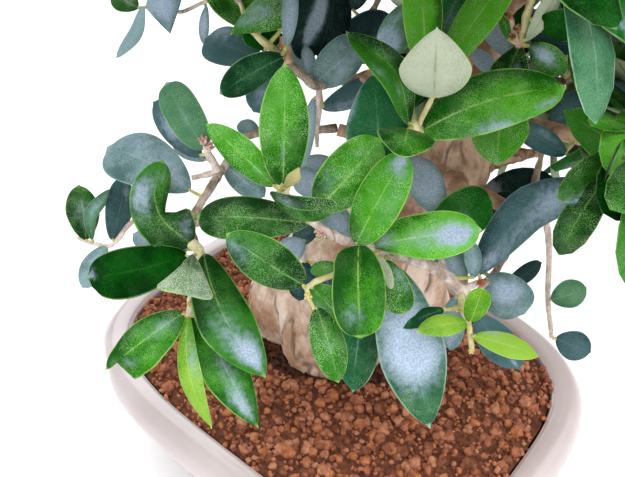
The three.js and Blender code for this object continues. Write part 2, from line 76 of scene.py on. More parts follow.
# Boughs: height of the foot on the trunk, tip, radius at the foot and at the tip, rise of the middle
BOUGHS = {
    "near": (112, (48, -65, 102), (6.5, 2.8), 5),
    "left": (108, (1, 19, 127), (5, 2.8), 3),
    "upper_left": (166, (3, 5, 157), (4.2, 2.4), 3),
    "near_top": (140, (38, -32, 153), (5, 2.6), 2),
    "right": (100, (84, -14, 100), (5, 2.8), 4),
    "back_right": (114, (72, 66, 128), (6, 3), 5),
    "far_right": (126, (108, 38, 142), (5, 2.8), 4),
    "right_front": (134, (112, -38, 148), (4.8, 2.6), 4),
    "high_front": (176, (42, -42, 222), (3.8, 2.2), 2),
    "high_left": (196, (-10, -6, 226), (3.8, 2.2), 2),
    "high_back_left": (186, (4, 58, 206), (3.8, 2.2), 2),
    "high_right": (182, (100, 4, 214), (3.8, 2.2), 3),
    "high_back": (204, (62, 62, 232), (3.4, 2.2), 2),
}
CUT_STUB = {"foot": (66, 8, 117), "tip": (95, 8, 121), "radii": (6.2, 1.2)}

# Crown: the reach of the leaves, and the open side that a viewer looks in through
CROWN = {"middle": (34, 10, 172), "reach": (146, 134, 140)}
OPEN_SIDE = {"spread": 0.345, "across": 10, "back": 8}
LOWEST_LEAF = 8.0
SPACE_CLEAR = 0.4
LIMB_CLEAR = 1.0
TRUNK_CLEAR = 2.0
GOLDEN_TURN = 2.39996

# Masses: centre of the space, seeded shoots, seed. The first five carry the shoots that the picture shows.
MASSES = {
    "near": ((5, -80, 122), 0, 3),
    "left": ((-72, -38, 109), 0, 5),
    "upper_left": ((-24, -10, 178), 0, 7),
    "near_top": ((34, -54, 178), 0, 9),
    "right": ((92, -34, 103), 0, 11),
    "back_right": ((72, 92, 138), 30, 23),
    "far_right": ((138, 42, 148), 28, 37),
    "right_front": ((126, -62, 156), 28, 41),
    "high_front": ((36, -72, 240), 28, 53),
    "high_left": ((-40, -10, 238), 28, 61),
    "high_back_left": ((-26, 80, 206), 30, 71),
    "high_right": ((116, -2, 224), 28, 83),
    "high_back": ((64, 84, 232), 28, 97),
    "top": ((34, 14, 276), 30, 101),
}


def unit(vector):
    return np.asarray(vector, float) / np.linalg.norm(vector)


def lerp(low, high, share):
    return low + (high - low) * share


def turned(vector, axis, angle):
    """The vector turned about an axis, by the usual formula for a turn."""
    axis = unit(axis)
    return (vector * math.cos(angle) + np.cross(axis, vector) * math.sin(angle)
            + axis * np.dot(axis, vector) * (1 - math.cos(angle)))


def to_row(points):
    """Points in the plant's axes become points of the part, still in millimetres."""
    points = np.asarray(points, float)
    cos, sin = math.cos(FACING), math.sin(FACING)
    return np.stack([points[..., 0] * cos - points[..., 1] * sin,
                     points[..., 0] * sin + points[..., 1] * cos,
                     points[..., 2] + RIM], axis=-1)


BACKWARD = np.array([0, -math.cos(LOOK_DOWN), math.sin(LOOK_DOWN)])
RIGHTWARD = np.array([1.0, 0, 0])
UPWARD = np.cross(BACKWARD, RIGHTWARD)
UP = np.array([0, 0, 1.0])


def seen_at(px, py, depth):
    """The point of the plant's axes that the camera sees at a picture place, at a depth in front of it."""
    across = (px - PICTURE[0] / 2) * depth / FOCAL_PX
    high = (PICTURE[1] / 2 - py) * depth / FOCAL_PX
    return EYE + RIGHTWARD * across + UPWARD * high - BACKWARD * depth


def picture_place(points):
    """Picture places and depths of points in the plant's axes."""
    off = np.asarray(points, float) - EYE
    depth = -off @ BACKWARD
    return np.stack([PICTURE[0] / 2 + FOCAL_PX * (off @ RIGHTWARD) / depth,
                     PICTURE[1] / 2 - FOCAL_PX * (off @ UPWARD) / depth, depth], axis=-1)


def smooth_path(points, steps):
    """A Catmull-Rom curve through the points, with this many steps to each stretch."""
    points = np.asarray(points, float)
    if len(points) == 2:
        return np.stack([lerp(points[0], points[1], k / steps) for k in range(steps + 1)])
    first, last = 2 * points[0] - points[1], 2 * points[-1] - points[-2]
    knots = np.vstack([first, points, last])
    path = [points[0]]
    for k in range(1, len(knots) - 2):
        a, b, c, d = knots[k - 1:k + 3]
        for step in range(1, steps + 1):
            t = step / steps
            path.append(0.5 * (2 * b + (c - a) * t + (2 * a - 5 * b + 4 * c - d) * t ** 2
                               + (3 * b - a - 3 * c + d) * t ** 3))
    return np.array(path)


class Pile:
    """Vertices and faces of many small things, joined into one piece."""

    def __init__(self):
        self.points = []
        self.marks = []
        self.faces = []
        self.finishes = []
        self.count = 0

    def add(self, points, faces, finishes, marks=None):
        """Adds points in the plant's axes, faces as lists of their numbers, and a finish number for each face."""
        self.add_placed(to_row(points), faces, finishes, marks)

    def add_placed(self, points, faces, finishes, marks=None):
        """The same for points of the part. marks has five values a point: place along and across a leaf, its shade
        with the painted light and shade across it, how much painted sheen it carries and how much dust."""
        self.points.append(np.asarray(points, float))
        self.marks.append(np.zeros((len(points), 5)) if marks is None else np.asarray(marks, float))
        self.faces.extend([[k + self.count for k in face] for face in faces])
        self.finishes.extend(finishes)
        self.count += len(points)

    def piece(self, name, materials, sharp=None):
        mesh = bpy.data.meshes.new(name)
        mesh.from_pydata((np.vstack(self.points) * MM).tolist(), [], self.faces)
        for material in materials:
            mesh.materials.append(material)
        mesh.polygons.foreach_set("material_index", self.finishes)
        mesh.polygons.foreach_set("use_smooth", [True] * len(mesh.polygons))
        if sharp:
            mesh.set_sharp_from_angle(angle=math.radians(sharp))
        marks = np.vstack(self.marks)
        if marks.any():
            for mark, kind, key, values in (("leaf_place", "FLOAT_VECTOR", "vector", marks[:, :3].ravel()),
                                            ("leaf_painted_sheen", "FLOAT", "value", marks[:, 3]),
                                            ("leaf_dust", "FLOAT", "value", marks[:, 4])):
                mesh.attributes.new(mark, kind, "POINT").data.foreach_set(key, values)
        mesh.update()
        thing = bpy.data.objects.new(name, mesh)
        bpy.context.scene.collection.objects.link(thing)
        return thing


def ring_faces(rings, sides):
    """Quads between rings of points, and a fan at each end round the two points that follow the rings."""
    faces = []
    for r in range(rings - 1):
        for s in range(sides):
            a, b = r * sides + s, r * sides + (s + 1) % sides
            faces.append([a, b, b + sides, a + sides])
    for s in range(sides):
        nxt = (s + 1) % sides
        faces.append([rings * sides, nxt, s])
        faces.append([rings * sides + 1, (rings - 1) * sides + s, (rings - 1) * sides + nxt])
    return faces


ANY_SIDE = np.array([0.31, 0.87, 0.38])
KNOBS_TO_MM = 0.35


def tube(pile, path, radii, sides, finish, knobs=0.0):
    """A round limb along a path, with a radius for each point and slight swellings where knobs is given."""
    path = np.asarray(path, float)
    side = ANY_SIDE
    rings = []
    for k, middle in enumerate(path):
        along = unit(path[min(k + 1, len(path) - 1)] - path[max(k - 1, 0)])
        side = unit(side - along * np.dot(side, along))
        other = np.cross(along, side)
        for s in range(sides):
            turn = 2 * math.pi * s / sides
            out = side * math.cos(turn) + other * math.sin(turn)
            bump = 1 + knobs * noise.noise(Vector(KNOBS_TO_MM * (middle + out * radii[k]))) if knobs else 1
            rings.append(middle + out * radii[k] * bump)
    points = np.vstack([rings, path[0], path[-1]])
    faces = ring_faces(len(path), sides)
    pile.add(points, faces, [finish] * len(faces))


# Finishes
def srgb(red, green, blue):
    """A colour read from the picture, 0 to 255, as the linear colour that a shader takes."""
    def linear(level):
        level /= 255
        return level / 12.92 if level <= 0.04045 else ((level + 0.055) / 1.055) ** 2.4
    return (linear(red), linear(green), linear(blue), 1.0)


class Level:
    """A shader value, so that sums on it read as plain expressions and add Math nodes."""

    def __init__(self, look, socket):
        self.look = look
        self.socket = socket

    def sum(self, operation, first, second):
        return self.look.node("ShaderNodeMath", {"operation": operation}, {0: first, 1: second})

    def __add__(self, other):
        return self.sum("ADD", self, other)

    def __radd__(self, other):
        return self.sum("ADD", other, self)

    def __sub__(self, other):
        return self.sum("SUBTRACT", self, other)

    def __rsub__(self, other):
        return self.sum("SUBTRACT", other, self)

    def __mul__(self, other):
        return self.sum("MULTIPLY", self, other)

    def __rmul__(self, other):
        return self.sum("MULTIPLY", other, self)

    def __abs__(self):
        return self.sum("ABSOLUTE", self, 0)

    def over(self, low, high):
        """Rises from 0 at low to 1 at high."""
        return self.look.node("ShaderNodeMapRange", {"interpolation_type": "SMOOTHSTEP"},
                              {"Value": self, "From Min": low, "From Max": high})

    def between(self, first, second):
        """A colour that goes from the first to the second as this value goes from 0 to 1."""
        return self.look.node("ShaderNodeMix", {"data_type": "RGBA"}, {0: self, 6: first, 7: second}, 2)


class Look:
    """One material with a Principled shader, whose other nodes all come from node()."""

    def __init__(self, name, roughness, coat=0.0, coat_roughness=0.1, specular=0.5):
        self.material = bpy.data.materials.new(name)
        self.material.use_nodes = True
        self.tree = self.material.node_tree
        self.shader = self.tree.nodes["Principled BSDF"]
        for socket, value in {"Roughness": roughness, "Coat Weight": coat, "Coat Roughness": coat_roughness,
                              "Specular IOR Level": specular}.items():
            self.shader.inputs[socket].default_value = value

    def node(self, kind, settings, values, output=0):
        node = self.tree.nodes.new(kind)
        for setting, value in settings.items():
            setattr(node, setting, value)
        for socket, value in values.items():
            if isinstance(value, Level):
                self.tree.links.new(value.socket, node.inputs[socket])
            else:
                node.inputs[socket].default_value = value
        return Level(self, node.outputs[output])

    def place(self):
        return self.node("ShaderNodeTexCoord", {}, {}, 3)

    def mark(self, name, output):
        """A value or a vector that the mesh carries at its points."""
        return self.node("ShaderNodeAttribute", {"attribute_name": name}, {}, output)

    def parts(self, vector):
        """The three numbers of a vector."""
        first = self.node("ShaderNodeSeparateXYZ", {}, {0: vector})
        return [Level(self, socket) for socket in first.socket.node.outputs]

    def stretched(self, scale):
        return self.node("ShaderNodeMapping", {}, {"Vector": self.place(), "Scale": scale})

    def cloud(self, scale, detail=3.0, where=None):
        """Soft noise from 0 to 1, scale to the metre."""
        values = {"Vector": where or self.place(), "Scale": scale, "Detail": detail}
        return self.node("ShaderNodeTexNoise", {}, values)

    def dots(self, scale, size):
        """Small round specks, 1 in their middle, scale to the metre."""
        near = self.node("ShaderNodeTexVoronoi", {"feature": "F1"}, {"Vector": self.place(), "Scale": scale})
        return 1 - near.over(0.5 * size, size)

    def paint(self, colour):
        self.give("Base Color", colour)

    def give(self, socket, value):
        self.tree.links.new(value.socket, self.shader.inputs[socket])

    def raised(self, height, depth, strength=1.0):
        """Relief from a height of 0 to 1, depth in metres."""
        values = {"Height": height, "Distance": depth, "Strength": strength}
        self.give("Normal", self.node("ShaderNodeBump", {}, values))


# Whitish blue of the painted sheen: reflections of the soft light, painted on the leaves
SHEEN_COLOURS = ((150, 170, 194), (184, 200, 220))


def leaf_finish(name, dark, light, rib, rim, roughness=0.42, specks=0.5, speck_colour=(176, 208, 156), shine=0.09):
    """A leathery blade: mottled between two tones, with a faint midrib, a pale rim, tiny scales and patches of
    painted sheen, a whitish blue that stands for the reflection of the soft light.
    """
    look = Look(name, roughness, 0.0, 0.3, shine)
    along, across, own = look.parts(look.mark("leaf_place", 1))
    side = abs(across)
    grain = look.cloud(1900, 2.0)
    # own carries the leaf's shade, its fade towards the tip, and the painted light and shade across its halves
    tone = (look.cloud(75) * 0.55 + grain * 0.45 + own * 0.26 - side * side * 0.08
            - (1 - along.over(0, 0.3)) * 0.1)
    haze = (1 - side.over(0.02, 0.3)) * (1 - along.over(0.3, 0.8)) * grain.over(0.4, 0.7) * 0.35
    line = (1 - side.over(0.012, 0.06)) * (1 - along.over(0.6, 0.97)) * look.cloud(260).over(0.3, 0.55) * 0.6
    middle = haze + line
    edge = (side.over(0.925, 0.985) + along.over(0.985, 1.0)) * look.cloud(140, 2.0).over(0.2, 0.6)
    dust = look.mark("leaf_dust", 2)
    patches = look.cloud(150, 3.0).over(0.38, 0.64) + 0.15
    scales = look.dots(2500, 0.5) * patches * dust * specks
    veil = look.cloud(95, 4.0).over(0.45, 0.7) * dust * (0.2 * specks)
    # Painted sheen: patches of painted reflection, whitish blue with streaks, laid on where the leaf's points carry
    # them
    bloom = look.mark("leaf_painted_sheen", 2)
    sheen_streaks = look.cloud(1500, 4.0)
    sheen_amount = bloom * (bloom + look.cloud(420, 4.0) * 1.5 - 0.55).over(0.1, 0.95)
    colour = middle.between(tone.over(0.36, 0.68).between(srgb(*dark), srgb(*light)), srgb(*rib))
    colour = veil.between(colour, srgb(*speck_colour))
    colour = (edge * 0.8).between(scales.between(colour, srgb(*speck_colour)), srgb(*rim))
    look.paint(sheen_amount.between(colour, sheen_streaks.over(0.35, 0.65).between(srgb(*SHEEN_COLOURS[0]), srgb(*SHEEN_COLOURS[1]))))
    look.raised(look.cloud(380, 2.0) * 0.7 + line * 0.6, 0.0005, 0.5)
    return look.material


def plain_finish(name, dark, light, scale, roughness, relief=0.0002):
    look = Look(name, roughness)
    look.paint(look.cloud(scale).over(0.35, 0.65).between(srgb(*dark), srgb(*light)))
    look.raised(look.cloud(scale * 4), relief, 0.6)
    return look.material


# Leaf kinds. The bluish kind is partly the leaves' own grey-blue and partly painted sheen. Slate is partly the
# leaves' own dark blue-green and partly painted shade, and the near-black kind is painted shade, for leaves deep in
# the crown's shadow.
LEAF_KINDS = {
    "bright": leaf_finish("bright_leaf", (4, 74, 0), (64, 148, 12), (140, 192, 92), (150, 198, 92), specks=0.62),
    "mid": leaf_finish("mid_leaf", (2, 54, 6), (46, 118, 22), (120, 168, 90), (132, 180, 90), specks=0.5),
    "deep": leaf_finish("deep_leaf", (0, 40, 2), (4, 80, 10), (30, 88, 26), (116, 158, 92), 0.6, 0.1, shine=0.02),
    "blue": leaf_finish("bluish_leaf", (70, 102, 98), (130, 160, 162), (152, 172, 172), (134, 162, 156), 0.42, 0.4,
                        (190, 204, 220)),
    "grey": leaf_finish("greyish_leaf", (28, 78, 26), (108, 140, 98), (150, 170, 140), (160, 186, 130), 0.6, 1.2,
                        (204, 210, 190)),
    "vivid": leaf_finish("vivid_leaf", (12, 92, 2), (88, 176, 30), (168, 212, 120), (170, 214, 110), specks=0.5),
    "slate": leaf_finish("slate_leaf", (16, 46, 50), (62, 96, 98), (92, 116, 118), (96, 122, 122), 0.45, 0.4,
                         (124, 148, 160), 0.12),
    "dusky": leaf_finish("shadowed_leaf", (4, 22, 22), (26, 54, 52), (60, 84, 84), (64, 88, 88), 0.6, 0.3,
                         (96, 118, 124), 0.05),
    "teal": leaf_finish("teal_leaf", (32, 86, 54), (74, 126, 90), (116, 156, 132), (154, 188, 160), 0.45, 0.4),
    "pine": leaf_finish("pine_leaf", (2, 54, 28), (24, 104, 60), (96, 150, 116), (150, 190, 158), specks=0.45),
    "lime": leaf_finish("lime_leaf", (72, 136, 18), (140, 184, 60), (176, 208, 112), (188, 214, 120), 0.5, 0.25),
    "cream": leaf_finish("cream_leaf", (150, 138, 78), (204, 194, 136), (214, 206, 160), (176, 160, 104), 0.6, 0.3),
    "pale": leaf_finish("pale_leaf", (150, 164, 136), (192, 200, 176), (140, 150, 104), (190, 204, 156), 0.65, 0.4,
                        (206, 214, 190)),
}
KIND_NUMBER = {kind: k for k, kind in enumerate(LEAF_KINDS)}
LEAF_EXTRAS = [
    leaf_finish("leaf_underside", (128, 148, 116), (164, 180, 146), (178, 192, 150), (150, 180, 100), 0.65, 0.3),
    plain_finish("leaf_stalk", (170, 172, 92), (206, 200, 132), 300, 0.5),
]
UNDERSIDE, STALK = range(len(LEAF_KINDS), len(LEAF_KINDS) + len(LEAF_EXTRAS))
LEAF_MATERIALS = list(LEAF_KINDS.values()) + LEAF_EXTRAS


# Leaves: a thin closed blade, green above and pale below, whose points know their place on it
FINE = {"rows": 22, "columns": (-1, -0.93, -0.7, -0.36, 0, 0.36, 0.7, 0.93, 1)}
PLAIN = {"rows": 7, "columns": (-1, -0.6, 0, 0.6, 1)}
LEAF_THICK = 0.4
LEAF_LEAST = 0.15
LEAF_CREASE = 60
TIP_POINT = 0.025
STALK_SAG = 0.06
STALK_TAPER = 0.65
STALK_INTO_BLADE = 0.02


def outline(share, widest, ends):
    """Half width along the blade as a share of the greatest. Higher ends are blunter, 1 is a straight wedge."""
    if share < widest:
        rest, shape = 1 - share / widest, ends[0]
    else:
        rest, shape = (share - widest) / (1 - widest), ends[1]
    return max(1 - min(rest, 1) ** shape, 0) ** (1 / shape)


def painted_sheen_at(share, column, patches):
    """How much painted sheen shows at a place of the blade, a painted reflection of the soft light. A patch has a
    place and a reach, both along and across, and a strength."""
    return sum(strength * math.exp(-((share - at) / long) ** 2 - ((column - side) / wide) ** 2)
               for at, side, long, wide, strength in patches)


def blade(pile, foot, tip, width, facing, kind, grain, roll=0, arch=0.06, side=0.0, twist=0, fold=0.2, curl=0.28,
          widest=0.54, ends=(1.6, 1.9), bloom=(), via=(), left=((0, 1),), right=((0, 1),), shade=0.4, fade=0.0,
          lit=0.0, dust=0.8):
    """One leaf from foot to tip. facing is the way its upper side looks, before the roll about its length. arch and
    side bend it up and sideways, fold and curl shape it across. left and right are shares of the half width at
    places along the blade, where its outline isn't even. shade is how light the leaf is, fade how much lighter it
    gets towards its tip, and lit how much lighter its right-hand side is: painted light and shade, as from light
    falling on one half of the fold. The patches of sheen are painted reflections of the soft light. A pale leaf
    shows its underside, so its back is green."""
    rows, columns = grain["rows"], grain["columns"]
    shares = 0.5 - 0.5 * np.cos(np.pi * np.arange(rows + 1) / rows)
    line = smooth_path([foot, *via, tip], 8)
    run = np.append(0, np.cumsum(np.linalg.norm(np.diff(line, axis=0), axis=1)))
    middles = np.stack([np.interp(shares * run[-1], run, line[:, k]) for k in range(3)], axis=1)
    length = run[-1]
    middles[-1] += unit(line[-1] - line[-2]) * TIP_POINT * length
    top, under, marks = [], [], []
    for r, share in enumerate(shares):
        along = unit(middles[min(r + 1, rows)] - middles[max(r - 1, 0)])
        level = unit(facing - along * np.dot(facing, along))
        normal = turned(level, along, math.radians(roll + twist * (share - 0.5)))
        across = np.cross(along, normal)
        hump = 4 * share * (1 - share) * length
        middle = middles[r] + normal * (arch * hump) + across * (side * hump)
        half = 0.5 * width * outline(share, widest, ends) + LEAF_LEAST
        for column in columns:
            sides = left if column < 0 else right
            out = half * column * np.interp(share, *zip(*sides))
            rise = half * (fold * abs(column) - curl * column * column)
            point = middle + across * out + normal * rise
            top.append(point)
            under.append(point - normal * LEAF_THICK)
            # lit paints the right-hand half lighter and the left darker, the other way when it is below 0: painted
            # light and shade, as from light falling on one half of the folded blade
            tint = shade + fade * (share - 0.5) + lit * column
            marks.append((share, column, tint, painted_sheen_at(share, column, bloom), dust))
    wide = len(columns)
    inner = [(r, c) for r in range(1, rows) for c in range(1, wide - 1)]
    numbers = {corner: len(top) + k for k, corner in enumerate(inner)}
    points = top + [under[r * wide + c] for r, c in inner]
    marks += [marks[r * wide + c] for r, c in inner]
    faces, finishes = [], []
    for r in range(rows):
        for c in range(wide - 1):
            corners = [(r, c), (r, c + 1), (r + 1, c + 1), (r + 1, c)]
            faces.append([a * wide + b for a, b in corners])
            finishes.append(KIND_NUMBER[kind])
            faces.append([numbers.get(corner, corner[0] * wide + corner[1]) for corner in reversed(corners)])
            finishes.append(KIND_NUMBER["mid"] if kind == "pale" else UNDERSIDE)
    pile.add(points, faces, finishes, marks)


def stalk(pile, root, foot, thick=1.0, sides=6):
    """The short stalk between a twig and a blade."""
    middle = lerp(root, foot, 0.5) - UP * STALK_SAG * np.linalg.norm(foot - root)
    steps = sides // 2
    radii = np.linspace(thick, STALK_TAPER * thick, 2 * steps + 1)
    tube(pile, smooth_path([root, middle, foot], steps), radii, sides, STALK)


# Twigs that the picture shows: picture places with depths from the camera, radius at the foot and at the tip, finish
TWIG_BARK, YOUNG_BARK, PALE_BARK, CREAM_BARK, RUSSET_BARK = range(5)
TWIGS = {
    "near": ([(464, 291, 277), (455, 284, 274), (440, 271, 270), (420, 263, 266), (400, 256, 262), (378, 249, 258),
              (356, 243, 254), (340, 239, 252), (318, 226, 250), (303, 213, 248), (292, 202, 246),
              (282, 190, 244)], (2.6, 1.3), PALE_BARK),
    "near_side": ([(359, 246, 254), (352, 258, 257), (343, 268, 256), (330, 276, 252), (317, 281, 249),
                   (306, 288, 247)], (1.3, 1.0), YOUNG_BARK),
    "near_drop": ([(306, 286, 247), (309, 298, 246), (314, 309, 246)], (0.9, 0.7), YOUNG_BARK),
    "near_back": ([(446, 276, 271), (440, 256, 274), (432, 232, 276)], (1.4, 0.9), PALE_BARK),
    "near_fork": ([(462, 290, 277), (470, 286, 274), (480, 282, 272)], (1.7, 1.2), PALE_BARK),
    "young": ([(462, 291, 276), (462, 306, 270), (468, 322, 266), (471, 338, 264), (472, 350, 262)],
              (1.3, 1.0), YOUNG_BARK),
    "left": ([(336, 128, 330), (300, 131, 322), (250, 135, 312), (232, 155, 306), (219, 174, 301), (207, 193, 297),
              (196, 212, 294), (192, 228, 291), (195, 242, 288), (198, 252, 285)], (2.2, 1.5), TWIG_BARK),
    "left_knot": ([(192, 243, 285), (198, 249, 284), (201, 257, 283)], (2.4, 2.0), CREAM_BARK),
    "near_knot": ([(276, 183, 245), (282, 188, 244), (288, 190, 245)], (1.5, 1.8), CREAM_BARK),
    "left_end": ([(198, 250, 285), (197, 268, 283), (194, 286, 280), (191, 302, 278), (190, 318, 276)],
                 (1.3, 1.8), CREAM_BARK),
    "left_spur": ([(219, 175, 301), (214, 164, 300), (208, 153, 299), (203, 143, 298)], (1.8, 1.4), PALE_BARK),
    "left_stub": ([(217, 172, 301), (205, 175, 301), (192, 178, 301)], (1.5, 1.1), PALE_BARK),
    "far_left": ([(198, 224, 291), (176, 216, 302), (150, 216, 314), (131, 223, 324), (112, 245, 330),
                  (92, 243, 333), (78, 238, 335)], (1.5, 0.9), PALE_BARK),
    "upper_left": ([(345, 82, 300), (336, 78, 298), (327, 83, 293), (317, 86, 289), (304, 77, 284), (294, 68, 280),
                    (283, 57, 276), (272, 47, 272)], (2.3, 1.5), TWIG_BARK),
    "upper_left_end": ([(280, 54, 275), (268, 45, 271), (255, 34, 268), (246, 18, 265), (240, 2, 262)],
                       (1.7, 0.9), YOUNG_BARK),
    "upper_stub": ([(288, 63, 277), (286, 50, 275), (284, 36, 274)], (2.2, 1.8), RUSSET_BARK),
    "crossing": ([(319, 86, 290), (319, 108, 296), (317, 128, 304), (317, 146, 312)], (1.5, 1.0), PALE_BARK),
    "top_dark": ([(319, 86, 290), (328, 68, 297), (346, 42, 303), (366, 20, 307), (378, 0, 309), (384, -22, 310)],
                 (1.8, 1.4), TWIG_BARK),
    "top_left": ([(240, 2, 262), (222, -4, 286), (200, 4, 312), (180, 12, 326), (160, 6, 330), (140, 8, 332)],
                 (1.0, 0.8), TWIG_BARK),
    "near_top": ([(438, 132, 273), (428, 135, 260), (419, 132, 246), (414, 126, 240), (410, 110, 246),
                  (412, 84, 250), (420, 50, 248), (428, 10, 244), (434, -30, 240)], (2.4, 1.0), YOUNG_BARK),
    "pale_stalk": ([(416, 130, 242), (423, 116, 239), (432, 98, 234)], (1.1, 0.9), YOUNG_BARK),
    "near_top_low": ([(420, 133, 247), (405, 147, 251), (388, 160, 253)], (1.2, 0.8), YOUNG_BARK),
    "corner": ([(438, 132, 273), (468, 114, 274), (500, 88, 266), (514, 62, 256), (521, 44, 251)],
               (2.4, 1.7), TWIG_BARK),
    "corner_top": ([(520, 47, 252), (523, 32, 249), (527, 14, 246), (533, -4, 244), (542, -30, 240)],
                   (1.7, 1.2), YOUNG_BARK),
    "corner_spur": ([(521, 46, 251), (516, 38, 250), (513, 29, 249), (511, 19, 248)], (1.5, 1.1), RUSSET_BARK),
    "right": ([(521, 217, 319), (512, 240, 311), (501, 262, 302), (489, 280, 295), (477, 291, 289)],
              (2.4, 1.0), TWIG_BARK),
    "right_up": ([(521, 217, 319), (532, 190, 314), (540, 160, 312), (548, 124, 310)], (2.2, 0.9), TWIG_BARK),
    "hanging": ([(521, 217, 319), (534, 210, 322), (545, 218, 327), (549, 250, 330), (548, 300, 330),
                 (552, 338, 328)], (2.0, 1.0), PALE_BARK),
    "inner": ([(300, 131, 322), (296, 150, 321), (299, 168, 318), (306, 190, 314), (308, 220, 306), (306, 256, 300),
               (304, 284, 297)], (1.1, 0.8), PALE_BARK),
    "right_over": ([(575, 135, 284), (572, 143, 283), (566, 150, 282)], (1.2, 0.9), YOUNG_BARK),
}
